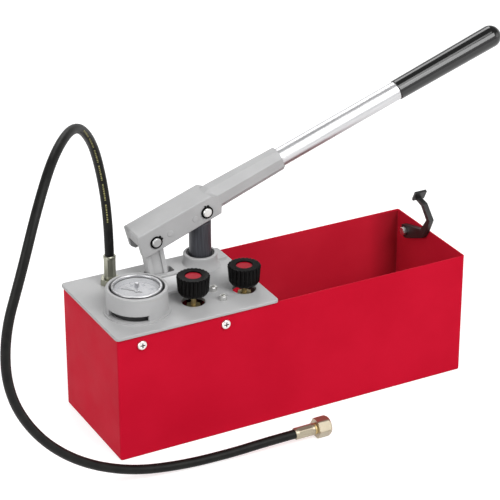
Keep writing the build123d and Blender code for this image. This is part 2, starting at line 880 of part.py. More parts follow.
# Valve block: a brass bar with a seat at each end, the screws' box and five ports
with BuildPart() as valve_block:
    with BuildSketch(Plane.XY.offset(block_bottom)):
        with BuildLine():
            Line(shutoff_centre, drain_centre)
        trace(line_width=arm_width)
        with Locations(valve_centres):
            Circle(arm_end / 2)
        with Locations((block_centre_x, block_y)):
            RectangleRounded(block_width, block_back_y - block_front_y, block_edge)
    extrude(amount=block_height)
    chamfer(valve_block.faces().sort_by(Axis.Z)[-1].edges(), length=block_edge)
    with BuildSketch(gauge_port, union_port, drain_port):
        Circle(port_boss / 2)
    extrude(amount=-port_reach)
    with BuildSketch(riser_port):
        Circle(port_boss / 2)
    extrude(amount=-bottom_port_depth)
    with BuildSketch(gauge_port, union_port, drain_port):
        Circle(flow_bore / 2)
    extrude(amount=-port_reach, mode=Mode.SUBTRACT)
    with BuildSketch(gallery_plane):
        Circle(flow_bore / 2)
    extrude(amount=gallery_length, mode=Mode.SUBTRACT)
    with BuildSketch(Plane.XY.offset(pipe_level)):
        with Locations(valve_centres):
            Circle(seat_bore / 2)
    extrude(amount=block_height, mode=Mode.SUBTRACT)
    with BuildSketch(Plane.XY.offset(spindle_foot)):
        with Locations(valve_centres):
            Circle(spindle_size / 2 + fit_play)
    extrude(amount=block_height, mode=Mode.SUBTRACT)
    with BuildSketch(riser_port):
        Circle(riser_seat_bore / 2)
    extrude(amount=-(bottom_port_depth + riser_seat_height), mode=Mode.SUBTRACT)
    with BuildSketch(Plane.XY.offset(block_bottom + riser_seat_height)):
        with Locations((block_centre_x, block_y)):
            Circle(riser_chamber / 2)
    extrude(amount=riser_chamber_height, mode=Mode.SUBTRACT)
    with BuildSketch(Plane.XY.offset(block_top - block_screw_reach)):
        with Locations(block_screw_centres):
            Circle(block_screw_size / 2 + fit_play)
    extrude(amount=block_height, mode=Mode.SUBTRACT)
save(valve_block, "valve_block")

with BuildPart() as pressure_ball:
    with Locations((block_centre_x, block_y, pressure_ball_z)):
        Sphere(riser_ball_size / 2)
save(pressure_ball, "pressure_ball")

# Two socket screws that hang the valve block on the plate
with BuildPart() as block_screws:
    with BuildSketch(Plane.XY.offset(plate_top)):
        with Locations(block_screw_centres):
            Circle(block_screw_head / 2)
    extrude(amount=block_screw_head_height)
    chamfer(block_screws.faces().group_by(Axis.Z)[-1].edges(), length=fit_edge)
    with BuildSketch(Plane.XY.offset(block_top - block_screw_reach)):
        with Locations(block_screw_centres):
            Circle(block_screw_size / 2)
    extrude(amount=plate_top - block_top + block_screw_reach)
    with BuildSketch(Plane.XY.offset(plate_top + block_screw_head_height)):
        with Locations(block_screw_centres):
            RegularPolygon(block_screw_socket / 2, side_count=6, major_radius=False)
    extrude(amount=-block_screw_socket_depth, mode=Mode.SUBTRACT)
save(block_screws, "block_screws")

# Gland nuts that close the valve seats under the plate
with BuildPart() as gland_nuts:
    with BuildSketch(Plane.XY.offset(block_top)):
        with Locations(valve_centres):
            RegularPolygon(gland_flats / 2, side_count=6, major_radius=False)
            Circle(spindle_size / 2 + fit_play, mode=Mode.SUBTRACT)
    extrude(amount=gland_height)
    chamfer(gland_nuts.faces().group_by(Axis.Z)[-1].edges().filter_by(GeomType.LINE), length=fit_edge)
save(gland_nuts, "gland_nuts")


def make_spindle(centre):
    """Valve spindle with a pointed foot and a threaded hole for the knob's screw."""
    with BuildPart() as spindle:
        with BuildSketch(Plane.XY.offset(spindle_foot + spindle_tip)):
            with Locations(centre):
                Circle(spindle_size / 2)
        extrude(amount=knob_socket_top - spindle_foot - spindle_tip)
        chamfer(spindle.faces().sort_by(Axis.Z)[0].edges(), length=spindle_tip / 2)
        with BuildSketch(Plane.XY.offset(knob_socket_top)):
            with Locations(centre):
                Circle(knob_screw_size / 2 + fit_play)
        extrude(amount=-knob_screw_length, mode=Mode.SUBTRACT)
    return spindle


def make_knob(centre):
    """Fluted knob with a recess for its cap and a socket for the spindle."""
    with BuildPart() as knob:
        with BuildSketch(Plane((*centre, knob_foot), x_dir=(1, 0, 0), z_dir=(0, -1, 0))):
            with BuildLine():
                Polyline(
                    (0, 0),
                    (knob_foot_radius, 0),
                    (knob_waist_radius, knob_waist_rise),
                    (knob_side_radius, knob_side_rise),
                    (knob_rim_radius, knob_height - knob_rim_drop),
                )
                ThreePointArc(
                    (knob_rim_radius, knob_height - knob_rim_drop),
                    (
                        (knob_rim_radius + knob_face_radius) / 2 + knob_rim_bulge,
                        knob_height - knob_rim_drop / 2 + knob_rim_bulge,
                    ),
                    (knob_face_radius, knob_height),
                )
                Polyline((knob_face_radius, knob_height), (0, knob_height), (0, 0))
            make_face()
        revolve(axis=Axis((*centre, 0), (0, 0, 1)))
        with BuildSketch(Plane.XY.offset(knob_foot)):
            with Locations(centre):
                with PolarLocations(knob_flute_ring / 2, knob_flutes):
                    Circle(knob_flute_size / 2)
        extrude(amount=knob_height, mode=Mode.SUBTRACT)
        with BuildSketch(Plane.XY.offset(knob_top)):
            with Locations(centre):
                Circle(knob_recess / 2)
        extrude(amount=-knob_recess_depth, mode=Mode.SUBTRACT)
        with BuildSketch(Plane.XY.offset(knob_foot)):
            with Locations(centre):
                Circle(spindle_size / 2 + fit_play)
        extrude(amount=knob_socket_rise, mode=Mode.SUBTRACT)
        with BuildSketch(Plane.XY.offset(knob_foot)):
            with Locations(centre):
                Circle(knob_screw_size / 2 + fit_play)
        extrude(amount=knob_height, mode=Mode.SUBTRACT)
        with BuildSketch(Plane.XY.offset(knob_recess_floor)):
            with Locations(centre):
                Circle(knob_screw_head / 2 + side_play)
        extrude(amount=-knob_screw_head_height, mode=Mode.SUBTRACT)
    return knob


def make_knob_screw(centre):
    """Socket screw that holds a knob on its spindle."""
    with BuildPart() as screw:
        with BuildSketch(Plane.XY.offset(knob_screw_seat)):
            with Locations(centre):
                Circle(knob_screw_head / 2)
        extrude(amount=knob_screw_head_height)
        with BuildSketch(Plane.XY.offset(knob_screw_seat)):
            with Locations(centre):
                Circle(knob_screw_size / 2)
        extrude(amount=-knob_screw_length)
        with BuildSketch(Plane.XY.offset(knob_recess_floor)):
            with Locations(centre):
                RegularPolygon(knob_screw_socket / 2, side_count=6, major_radius=False)
        extrude(amount=-knob_screw_head_height / 2, mode=Mode.SUBTRACT)
    return screw


def make_knob_cap(centre):
    """Disc that closes a knob's recess."""
    with BuildPart() as cap:
        with BuildSketch(Plane.XY.offset(knob_recess_floor)):
            with Locations(centre):
                Circle(knob_recess / 2 - knob_cap_gap / 2)
        extrude(amount=knob_cap_thickness)
        fillet(cap.faces().sort_by(Axis.Z)[-1].edges(), radius=knob_cap_edge)
    return cap


# The shut-off valve is open; the drain valve is screwed in against its seat
for valve, centre, sink in (("shutoff", shutoff_centre, 0), ("drain", drain_centre, drain_sink)):
    save(make_spindle(centre), f"{valve}_spindle", sink)
    save(make_knob(centre), f"{valve}_knob", sink)
    save(make_knob_screw(centre), f"{valve}_knob_screw", sink)
    save(make_knob_cap(centre), f"{valve}_knob_cap", sink)


def make_pipe(points, bend):
    """Bent pipe along a few straight runs."""
    with BuildPart() as pipe:
        with BuildLine() as route:
            FilletPolyline(*points, radius=bend)
        with BuildSketch(Plane(route.line @ 0, z_dir=route.line % 0)):
            Circle(pipe_size / 2)
            Circle(pipe_bore / 2, mode=Mode.SUBTRACT)
        sweep()
    return pipe


pressure_pipe = make_pipe(
    [
        pump_port.origin,
        Vector(block_centre_x, block_y, outlet_height),
        riser_port.origin,
    ],
    pipe_bend,
)
save(pressure_pipe, "pressure_pipe")
delivery_pipe = make_pipe(
    [union_port.origin, Vector(*union_centre, pipe_level), union_foot_port.origin],
    pipe_bend,
)
save(delivery_pipe, "delivery_pipe")
gauge_pipe = make_pipe(
    [gauge_port.origin, Vector(*gauge_centre, pipe_level), stem_port.origin],
    pipe_bend,
)
save(gauge_pipe, "gauge_pipe")
drain_tube = make_pipe(
    [
        drain_port.origin,
        drain_port.origin + Vector(drain_reach, 0, 0),
        drain_port.origin + Vector(drain_reach, 0, -drain_drop),
    ],
    pipe_bend,
)
save(drain_tube, "drain_tube")

# Pipe nuts, one on each port
with BuildPart() as pipe_nuts:
    for port in (
        gauge_port, union_port, drain_port, riser_port, pump_port, stem_port, union_foot_port
    ):
        with BuildSketch(port):
            RegularPolygon(pipe_nut_flats / 2, side_count=6, major_radius=False)
            Circle(pipe_size / 2 + fit_play, mode=Mode.SUBTRACT)
        extrude(amount=pipe_nut_height)
save(pipe_nuts, "pipe_nuts")

# Gauge case: a deep cup with a ledge for the dial and a hole for the stem
with BuildPart() as gauge_case_body:
    with BuildSketch(Plane.XY.offset(plate_top)):
        with Locations(gauge_centre):
            Circle(gauge_case / 2)
            Circle(gauge_stem_hole / 2, mode=Mode.SUBTRACT)
    extrude(amount=gauge_case_top - plate_top)
    with BuildSketch(Plane.XY.offset(plate_top + gauge_case_floor)):
        with Locations(gauge_centre):
            Circle(gauge_bore / 2)
    extrude(amount=gauge_case_top, mode=Mode.SUBTRACT)
    with BuildSketch(Plane.XY.offset(dial_floor)):
        with Locations(gauge_centre):
            Circle(gauge_ledge / 2)
    extrude(amount=gauge_case_top, mode=Mode.SUBTRACT)
save(gauge_case_body, "gauge_case")

with BuildPart() as gauge_bezel:
    with BuildSketch(Plane.XY.offset(gauge_case_top - bezel_skirt)):
        with Locations(gauge_centre):
            Circle(bezel_outside / 2)
            Circle(bezel_window / 2, mode=Mode.SUBTRACT)
    extrude(amount=bezel_top - gauge_case_top + bezel_skirt)
    fillet(gauge_bezel.faces().sort_by(Axis.Z)[-1].edges(), radius=bezel_edge)
    with BuildSketch(Plane.XY.offset(gauge_case_top - bezel_skirt)):
        with Locations(gauge_centre):
            Circle(gauge_case / 2 + fit_play)
    extrude(amount=bezel_skirt + glass_thickness + glass_gap, mode=Mode.SUBTRACT)
save(gauge_bezel, "gauge_bezel")

with BuildPart() as gauge_glass:
    with BuildSketch(Plane.XY.offset(glass_floor)):
        with Locations(gauge_centre):
            Circle(gauge_case / 2 - fit_play)
            Circle(pointer_pivot / 2 + fit_play, mode=Mode.SUBTRACT)
    extrude(amount=glass_thickness)
save(gauge_glass, "gauge_glass")

with BuildPart() as gauge_dial:
    with BuildSketch(Plane.XY.offset(dial_floor)):
        with Locations(gauge_centre):
            Circle(dial_size / 2)
            Circle(needle_pivot / 2 + fit_play, mode=Mode.SUBTRACT)
    extrude(amount=dial_thickness)
save(gauge_dial, "gauge_dial")

# Needle with its tail, hub and pivot
with BuildPart() as gauge_needle:
    needle_plane = turned_plane(gauge_centre, dial_top + needle_lift, needle_rest)
    with BuildSketch(needle_plane):
        Circle(needle_hub / 2)
        with BuildLine():
            Polyline(
                (-needle_tail, -needle_width),
                (needle_length, -needle_point),
                (needle_length, needle_point),
                (-needle_tail, needle_width),
                close=True,
            )
        make_face()
    extrude(amount=needle_thickness)
    with BuildSketch(needle_plane):
        Circle(needle_pivot / 2)
    extrude(amount=-needle_pivot_length)
save(gauge_needle, "gauge_needle")

# Drag pointer: an arm under the glass and a knob on top of it
with BuildPart() as drag_pointer:
    pointer_plane = turned_plane(gauge_centre, dial_top + pointer_lift, pointer_rest)
    with BuildSketch(pointer_plane):
        Circle(pointer_knob / 2)
        with Locations((pointer_length / 2, 0)):
            Rectangle(pointer_length, pointer_width)
    extrude(amount=pointer_thickness)
    with BuildSketch(pointer_plane):
        Circle(pointer_pivot / 2)
    extrude(amount=pointer_knob_floor - pointer_plane.origin.Z)
    with BuildSketch(Plane.XY.offset(pointer_knob_floor)):
        with Locations(gauge_centre):
            Circle(pointer_knob / 2)
    extrude(amount=pointer_knob_height)
    chamfer(drag_pointer.faces().sort_by(Axis.Z)[-1].edges(), length=fit_edge)
save(drag_pointer, "drag_pointer")

# Stem with the socket block that feeds the Bourdon tube
with BuildPart() as gauge_stem:
    with BuildSketch(Plane.XY.offset(stem_foot)):
        with Locations(gauge_centre):
            Circle(stem_size / 2)
            Circle(flow_bore / 2, mode=Mode.SUBTRACT)
    extrude(amount=plate_top + gauge_case_floor - stem_foot)
    with BuildSketch(Plane.XY.offset(plate_top + gauge_case_floor)):
        with Locations((gauge_x + (stem_block_reach - stem_size / 2) / 2, gauge_y)):
            Rectangle(stem_block_reach + stem_size / 2, stem_block_size)
    extrude(amount=stem_block_top - plate_top - gauge_case_floor)
save(gauge_stem, "gauge_stem")

# Bourdon tube: a flat tube bent round from the socket block
with BuildPart() as bourdon_tube:
    with BuildSketch(Plane.XY.offset(bourdon_floor)):
        with BuildLine():
            outer = CenterArc(
                gauge_centre, bourdon_ring / 2 + bourdon_wall / 2, bourdon_start, bourdon_sweep
            )
            inner = CenterArc(
                gauge_centre, bourdon_ring / 2 - bourdon_wall / 2, bourdon_start, bourdon_sweep
            )
            Line(outer @ 0, inner @ 0)
            Line(outer @ 1, inner @ 1)
        make_face()
    extrude(amount=bourdon_height)
save(bourdon_tube, "bourdon_tube")

# Movement between the socket block and the dial
with BuildPart() as gauge_movement:
    with BuildSketch(Plane.XY.offset(stem_block_top)):
        with Locations(gauge_centre):
            Rectangle(movement_length, movement_width)
            Circle(needle_pivot / 2 + fit_play, mode=Mode.SUBTRACT)
    extrude(amount=dial_floor - stem_block_top)
save(gauge_movement, "gauge_movement")

# Lever casting: a channel over piston and link, with an octagonal socket for the tube
with BuildPart() as lever_body:
    with BuildSketch(lever_plane):
        with BuildLine():
            Polyline(
                (lever_rear_low, lever_bottom_rear),
                (lever_rear, lever_rear_chamfer),
                (lever_rear_top, lever_top_rear - casting_edge),
                (lever_rear_top + lever_edge, lever_top_rear),
                (lever_slope_start, lever_top_front),
                (lever_front, lever_slope_end),
                (lever_front, lever_front_chamfer),
                (lever_front_low, lever_bottom_front),
                close=True,
            )
        make_face()
    extrude(amount=lever_width / 2, both=True)
    with BuildSketch(lever_plan):
        with BuildLine():
            Polyline(
                (lever_rear - overrun, -lever_width / 2),
                (lever_plan_start, -lever_width / 2),
                (lever_front, -lever_plan_width / 2),
                (lever_front, lever_plan_width / 2),
                (lever_plan_start, lever_width / 2),
                (lever_rear - overrun, lever_width / 2),
                close=True,
            )
        make_face()
    extrude(amount=lever_width, both=True, mode=Mode.INTERSECT)
    top_edges = lever_body.edges().filter_by(lambda edge: edge.length > lever_plan_start)
    fillet(top_edges, radius=lever_edge)
    for near, near_size, far, far_size in (
        (socket_heel, socket_heel_size, socket_start, socket_root),
        (socket_start, socket_root, socket_end, socket_mouth),
    ):
        for place, size in ((near, near_size), (far, far_size)):
            with BuildSketch(lever_section.offset(place)):
                with Locations((0, socket_axis)):
                    RegularPolygon(
                        size / 2, side_count=socket_sides, major_radius=False, rotation=octagon_turn
                    )
        loft()
    for ceiling, rear in ((channel_ceiling, lever_rear + lever_lip), (lever_lip_low, lever_rear - overrun)):
        with BuildSketch(lever_plan.offset(ceiling)):
            with BuildLine():
                Polyline(
                    (rear, -channel_width / 2),
                    (channel_front, -channel_width / 2),
                    (channel_front, channel_width / 2),
                    (rear, channel_width / 2),
                    close=True,
                )
            make_face()
        extrude(amount=-ceiling - lever_width, mode=Mode.SUBTRACT)
    with BuildSketch(lever_plane):
        Circle(pin_size / 2 + fit_play)
        with Locations((front_pin_at.X, front_pin_at.Y)):
            Circle(pin_size / 2 + fit_play)
    extrude(amount=lever_width, both=True, mode=Mode.SUBTRACT)
    with BuildSketch(lever_section.offset(tube_start)):
        with Locations((0, socket_axis)):
            Circle(tube_size / 2 + fit_play)
    extrude(amount=socket_end, mode=Mode.SUBTRACT)
    with BuildSketch(lever_plane.offset(lever_width / 2)):
        with Locations([(x, ejector_mark_rise) for x in ejector_mark_x]):
            Circle(ejector_mark_size / 2)
    extrude(amount=ejector_mark_height)
save(lever_body, "lever_body")

with BuildPart() as lever_tube:
    with BuildSketch(lever_section.offset(tube_start)):
        with Locations((0, socket_axis)):
            Circle(tube_size / 2)
            Circle(tube_bore / 2, mode=Mode.SUBTRACT)
    extrude(amount=grip_end - grip_wall - tube_start)
save(lever_tube, "lever_tube")

# Grip: a tapered plastic sleeve with a domed end
with BuildPart() as lever_grip:
    with BuildSketch(lever_plane):
        with BuildLine():
            Polyline(
                (grip_start, socket_axis),
                (grip_start, socket_axis + grip_root / 2 - grip_lip),
                (grip_start + grip_lip, socket_axis + grip_root / 2),
                (grip_end - grip_tip / 2, socket_axis + grip_tip / 2),
            )
            CenterArc(
                (grip_end - grip_tip / 2, socket_axis),
                grip_tip / 2,
                start_angle=0,
                arc_size=quarter_turn,
            )
            Line((grip_end, socket_axis), (grip_start, socket_axis))
        make_face()
    revolve(axis=tube_axis)
    with BuildSketch(lever_section.offset(grip_start)):
        with Locations((0, socket_axis)):
            Circle(tube_size / 2 + fit_play)
    extrude(amount=grip_end - grip_wall - grip_start, mode=Mode.SUBTRACT)
save(lever_grip, "lever_grip")


def make_pin(plane, spot, size, length):
    """Plain pin across the lever, with both ends chamfered."""
    with BuildPart() as pin:
        with BuildSketch(plane):
            with Locations(spot):
                Circle(size / 2)
        extrude(amount=length / 2, both=True)
        chamfer(pin.edges().filter_by(GeomType.CIRCLE), length=pin_edge)
    return pin


front_pin_spot = (front_pin_at.X, front_pin_at.Y)
save(make_pin(lever_plane, (0, 0), pin_size, pin_length), "rear_pin")
save(make_pin(lever_plane, front_pin_spot, pin_size, pin_length), "front_pin")
save(make_pin(link_plane, (0, 0), lower_pin_size, 2 * ear_reach), "lower_link_pin")

# Circlips: open rings with two eyes, on both ends of the lever's pins
with BuildPart() as pin_circlips:
    for spot, clip_angle in (((0, 0), rear_clip_angle), (front_pin_spot, front_clip_angle)):
        for face in (clip_seat, -clip_seat - circlip_thickness):
            centre = lever_plane.from_local_coords(Vector(*spot, face))
            turned = math.radians(clip_angle)
            clip_plane = Plane(
                origin=centre,
                x_dir=(math.cos(turned), 0, math.sin(turned)),
                z_dir=(0, -1, 0),
            )
            with BuildSketch(clip_plane):
                Circle(circlip_ring / 2)
                with Locations((circlip_ring / 2, 0)):
                    Rectangle(circlip_ring / 2, circlip_gap, mode=Mode.SUBTRACT)
                with Locations(
                    (circlip_ring / 2, circlip_gap / 2 + circlip_lug / 2),
                    (circlip_ring / 2, -circlip_gap / 2 - circlip_lug / 2),
                ):
                    Circle(circlip_lug / 2)
                    Circle(circlip_lug_hole / 2, mode=Mode.SUBTRACT)
                Circle(circlip_bore / 2, mode=Mode.SUBTRACT)
            extrude(amount=circlip_thickness)
save(pin_circlips, "pin_circlips")

# Link: an arm of I section with a hub above and a long hole for the lower pin
with BuildPart() as link_arm:
    with BuildSketch(link_plane):
        with Locations((0, (link_length - link_foot) / 2)):
            Rectangle(link_width, link_length + link_foot)
        with Locations((0, link_length)):
            Circle(link_width / 2)
    extrude(amount=link_thickness / 2, both=True)
    foot_edges = link_arm.edges().filter_by(Axis.Y).group_by(Axis.Z)
    fillet(foot_edges[0] + foot_edges[1], radius=link_foot_corner)
    with BuildSketch(link_plane):
        with Locations((0, link_length)):
            Circle(link_width / 2)
    extrude(amount=link_hub_width / 2, both=True)
    for side in (-1, 1):
        with BuildSketch(link_plane.offset(side * link_thickness / 2)):
            with Locations((0, (link_recess_start + link_recess_end) / 2)):
                RectangleRounded(
                    link_recess_width, link_recess_end - link_recess_start, link_recess_corner
                )
        extrude(amount=-side * link_recess_depth, mode=Mode.SUBTRACT)
    with BuildSketch(link_plane):
        with Locations((0, link_length)):
            Circle(pin_size / 2 + fit_play)
        with Locations(
            (
                (link_slot_right - link_slot_left) / 2,
                (link_slot_high - link_slot_low) / 2,
            )
        ):
            RectangleRounded(
                link_slot_right + link_slot_left, link_slot_high + link_slot_low, link_slot_corner
            )
    extrude(amount=link_hub_width, both=True, mode=Mode.SUBTRACT)
save(link_arm, "link_arm")

# Hose union with its locknut under the plate
with BuildPart() as hose_union:
    with BuildSketch(Plane.XY.offset(plate_top)):
        with Locations(union_centre):
            RegularPolygon(union_flats / 2, side_count=6, major_radius=False)
    extrude(amount=union_hex_height)
    chamfer(hose_union.faces().sort_by(Axis.Z)[-1].edges(), length=fit_edge)
    with BuildSketch(Plane.XY.offset(union_foot)):
        with Locations(union_centre):
            Circle(union_thread / 2)
    extrude(amount=plate_top - union_foot)
    with BuildSketch(Plane.XY.offset(union_foot)):
        with Locations(union_centre):
            Circle(union_bore / 2)
    extrude(amount=plate_top, mode=Mode.SUBTRACT)
save(hose_union, "hose_union")

with BuildPart() as union_locknut:
    with BuildSketch(Plane.XY.offset(tank_height)):
        with Locations(union_centre):
            RegularPolygon(locknut_flats / 2, side_count=6, major_radius=False)
            Circle(union_thread / 2 + fit_play, mode=Mode.SUBTRACT)
    extrude(amount=-locknut_height)
save(union_locknut, "union_locknut")


def make_ferrule(plane, size, length):
    """Ferrule with flats crimped into it all round."""
    with BuildPart() as ferrule:
        with BuildSketch(plane):
            Circle(size / 2)
        extrude(amount=length)
        rims = ferrule.edges().filter_by(GeomType.CIRCLE)
        chamfer(rims, length=ferrule_edge)
        with BuildSketch(plane.offset(ferrule_crimp_margin)):
            Circle(size)
            RegularPolygon(
                size / 2 - ferrule_crimp_depth,
                side_count=ferrule_crimps,
                major_radius=False,
                mode=Mode.SUBTRACT,
            )
        extrude(amount=length - ferrule_crimp_margin * 2, mode=Mode.SUBTRACT)
        with BuildSketch(plane):
            Circle(hose_bore / 2)
        extrude(amount=length, mode=Mode.SUBTRACT)
    return ferrule


union_top = plate_top + union_hex_height
ferrule_plane = Plane(origin=(*union_centre, union_top), x_dir=(1, 0, 0), z_dir=(0, 0, 1))
save(make_ferrule(ferrule_plane, ferrule_size, ferrule_top - union_top), "hose_ferrule")
end_plane = Plane(origin=(end_x, end_y, end_z), x_dir=(0, 1, 0), z_dir=(1, 0, 0))
end_ferrule_plane = Plane(
    origin=end_plane.offset(end_ferrule_length).origin, x_dir=(0, 1, 0), z_dir=(-1, 0, 0)
)
save(make_ferrule(end_ferrule_plane, end_ferrule_size, end_ferrule_length), "end_ferrule")

# Hose: straight runs joined by the largest arcs that the runs allow
runs = [Vector(*b) - Vector(*a) for a, b in zip(hose_route, hose_route[1:])]
hose_radii = []
for before, after in zip(runs, runs[1:]):
    half_turn = math.radians(before.get_angle(after)) / 2
    hose_radii.append(hose_share * min(before.length, after.length) / math.tan(half_turn))
with BuildPart() as hose:
    with BuildLine() as hose_line:
        FilletPolyline(*hose_route, radius=hose_radii)
    with BuildSketch(Plane(hose_line.line @ 0, z_dir=hose_line.line % 0)):
        Circle(hose_size / 2)
        Circle(hose_bore / 2, mode=Mode.SUBTRACT)
    sweep()
save(hose, "hose")
hose_section = math.pi * (hose_size**2 - hose_bore**2) / 4
hose_length = sum(edge.length for edge in hose_line.edges())
print("hose radii", [round(radius) for radius in hose_radii])
print("hose length", round(hose_length), "volume", round(hose.part.volume))
print("section times length", round(hose_section * hose_length))

# Tail in the hose's free end: a collar, a neck and a flange that holds the union nut
with BuildPart() as hose_tail:
    with BuildSketch(Plane.XZ.offset(-end_y)):
        with BuildLine():
            Polyline(
                (tail_start, end_z + tail_bore / 2),
                (tail_start, end_z + tail_collar / 2),
                (tail_start + tail_collar_length, end_z + tail_collar / 2),
                (tail_start + tail_collar_length, end_z + tail_neck / 2),
                (tail_flange_start, end_z + tail_neck / 2),
                (tail_flange_start, end_z + tail_flange / 2),
                (tail_flange_start + tail_flange_thickness, end_z + tail_flange / 2),
                (tail_flange_start + tail_flange_thickness, end_z + tail_bore / 2),
                close=True,
            )
        make_face()
    revolve(axis=end_axis)
save(hose_tail, "hose_tail")

with BuildPart() as union_nut:
    with BuildSketch(end_plane.offset(union_nut_start)):
        RegularPolygon(union_nut_flats / 2, side_count=6, major_radius=False)
        Circle(union_nut_turned / 2, mode=Mode.INTERSECT)
    extrude(amount=union_nut_length)
    with BuildSketch(Plane.XZ.offset(-end_y)):
        with BuildLine():
            Polyline(
                (union_nut_end, end_z + union_nut_flats / 2 - union_nut_chamfer / 2),
                (union_nut_end, end_z + union_nut_flats),
                (union_nut_end - union_nut_flats, end_z + union_nut_flats),
                (
                    union_nut_end - 2 * union_nut_chamfer,
                    end_z + union_nut_turned / 2,
                ),
                close=True,
            )
        make_face()
    revolve(axis=end_axis, mode=Mode.SUBTRACT)
    with BuildSketch(end_plane.offset(union_nut_start)):
        Circle(tail_neck / 2 + fit_play)
    extrude(amount=union_nut_length, mode=Mode.SUBTRACT)
    with BuildSketch(end_plane.offset(union_nut_start + union_nut_wall)):
        Circle(union_nut_bore / 2)
    extrude(amount=union_nut_length, mode=Mode.SUBTRACT)
    with BuildSketch(end_plane.offset(union_nut_start + union_nut_wall)):
        Circle(union_nut_relief / 2)
    extrude(amount=union_nut_length - union_nut_wall - union_nut_thread, mode=Mode.SUBTRACT)
save(union_nut, "union_nut")

with BuildPart() as nut_gasket:
    with BuildSketch(end_plane.offset(tail_length_to_face)):
        Circle(tail_flange / 2)
        Circle(gasket_bore / 2, mode=Mode.SUBTRACT)
    extrude(amount=gasket_thickness)
save(nut_gasket, "nut_gasket")

# Lever hook on the inside of the tank's right end, with its screw and nut
hook_plane = Plane.YZ.offset(hook_face)


def hook_outline(shares):
    """Closed outline from shares of the hook's size, measured from its pivot."""
    return [(hook_y + across * hook_size, hook_z + up * hook_size) for across, up in shares]


with BuildPart() as lever_hook:
    with BuildSketch(hook_plane):
        with BuildLine():
            Polyline(*hook_outline(hook_arm_shares), close=True)
        make_face()
    extrude(amount=hook_thickness)
    fillet(lever_hook.edges().filter_by(Axis.X), radius=hook_corner)
    with BuildSketch(hook_plane.offset(hook_thickness / 2)):
        with BuildLine():
            Polyline(*hook_outline(hook_head_shares), close=True)
        make_face()
    extrude(amount=hook_head_width / 2, both=True)
    with BuildSketch(hook_plane):
        with Locations((hook_y, hook_z)):
            Circle(hook_bore / 2)
    extrude(amount=hook_thickness, mode=Mode.SUBTRACT)
save(lever_hook, "lever_hook")

with BuildPart() as hook_screw:
    with BuildSketch(Plane.YZ.offset(tank_length / 2)):
        with Locations((hook_y, hook_z)):
            Circle(hook_screw_head / 2)
    extrude(amount=hook_screw_head_height)
    chamfer(hook_screw.faces().sort_by(Axis.X)[-1].edges(), length=fit_edge)
    with BuildSketch(Plane.YZ.offset(tank_length / 2)):
        with Locations((hook_y, hook_z)):
            Circle(hook_screw_size / 2)
    extrude(amount=-hook_screw_length)
    with BuildSketch(Plane.YZ.offset(tank_length / 2 + hook_screw_head_height)):
        with Locations((hook_y, hook_z)):
            RegularPolygon(hook_screw_recess / 2, side_count=6, major_radius=False)
    extrude(amount=-hook_screw_recess_depth, mode=Mode.SUBTRACT)
save(hook_screw, "hook_screw")

with BuildPart() as hook_nut:
    with BuildSketch(Plane.YZ.offset(hook_face - side_play)):
        with Locations((hook_y, hook_z)):
            RegularPolygon(hook_nut_flats / 2, side_count=6, major_radius=False)
            Circle(hook_screw_size / 2 + fit_play, mode=Mode.SUBTRACT)
    extrude(amount=-hook_nut_height)
save(hook_nut, "hook_nut")
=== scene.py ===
import bpy
import bmesh
import math
from mathutils import Matrix, Vector


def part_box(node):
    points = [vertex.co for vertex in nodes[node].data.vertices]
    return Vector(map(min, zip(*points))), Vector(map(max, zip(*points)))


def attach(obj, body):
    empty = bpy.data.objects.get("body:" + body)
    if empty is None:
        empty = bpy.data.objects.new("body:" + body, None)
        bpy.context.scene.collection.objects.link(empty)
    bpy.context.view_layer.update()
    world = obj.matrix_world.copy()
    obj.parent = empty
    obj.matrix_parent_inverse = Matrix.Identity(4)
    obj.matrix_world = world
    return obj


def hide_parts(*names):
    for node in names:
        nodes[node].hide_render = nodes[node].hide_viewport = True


# Hydrostatic hand test pump. Metres, Z up, X along the tank, front face towards -Y.
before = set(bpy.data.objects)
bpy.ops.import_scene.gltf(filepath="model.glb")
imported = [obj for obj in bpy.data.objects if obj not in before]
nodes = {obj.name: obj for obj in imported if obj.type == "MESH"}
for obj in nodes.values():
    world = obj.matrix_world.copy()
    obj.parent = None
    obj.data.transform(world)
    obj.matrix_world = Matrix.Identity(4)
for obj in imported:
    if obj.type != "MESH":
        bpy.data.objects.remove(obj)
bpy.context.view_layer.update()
scene = bpy.context.scene

# Camera of the photograph
IMAGE_SIZE = 500
FOCAL_PIXELS = 2112.26
SENSOR = 36
CLIP_END = 30
CAMERA_AZIMUTH = -28.015
CAMERA_ELEVATION = 26.079
CAMERA_PLACE = Vector((-1.16336, -2.14070, 1.39219))

# Surroundings
FLOOR_GLOW = 0.7
FLOOR_SIZE = 12
WORLD_STRENGTH = 0.29

# Sine of the angle at which the backdrop starts to fade, and at which it ends
BACKDROP_RISE = 0.25
BACKDROP_TOP = 0.45

# Lamps: name, place, side and power
LAMP_TARGET = (0, 0, 0.15)
LAMPS = [
    ("key", (-0.1, -1.6, 2.9), 1.5, 31),
    ("front", (0.75, -2.2, 1.95), 1.5, 47),
    ("left", (-2.6, -0.7, 1.3), 1.8, 43),
    ("back", (0.6, 1.9, 2.3), 1.4, 28),
    ("right", (2.4, -1.4, 1.1), 1.6, 8),
]

# Inside of the tank, painted lighter as painted light, and the strip of painted shade on its back
# wall at the far corner
HOLLOW_LOW = (-0.2487, -0.0817, 0.001)
HOLLOW_HIGH = (0.2487, 0.0817, 0.1699)
CORNER_LOW = (0.19, 0.0805, 0.0)
CORNER_HIGH = (0.2492, 0.083, 0.168)
CORNER_SHADE_START = 0.205
CORNER_SHADE_END = 0.249
CORNER_SHADE = 0.6

# Inside of the tank below the plate, and where its shade starts and is full
UNDER_LOW = HOLLOW_LOW
UNDER_HIGH = (-0.028, 0.0817, 0.1699)
UNDER_SHADE_START = -0.028
UNDER_SHADE_END = -0.105
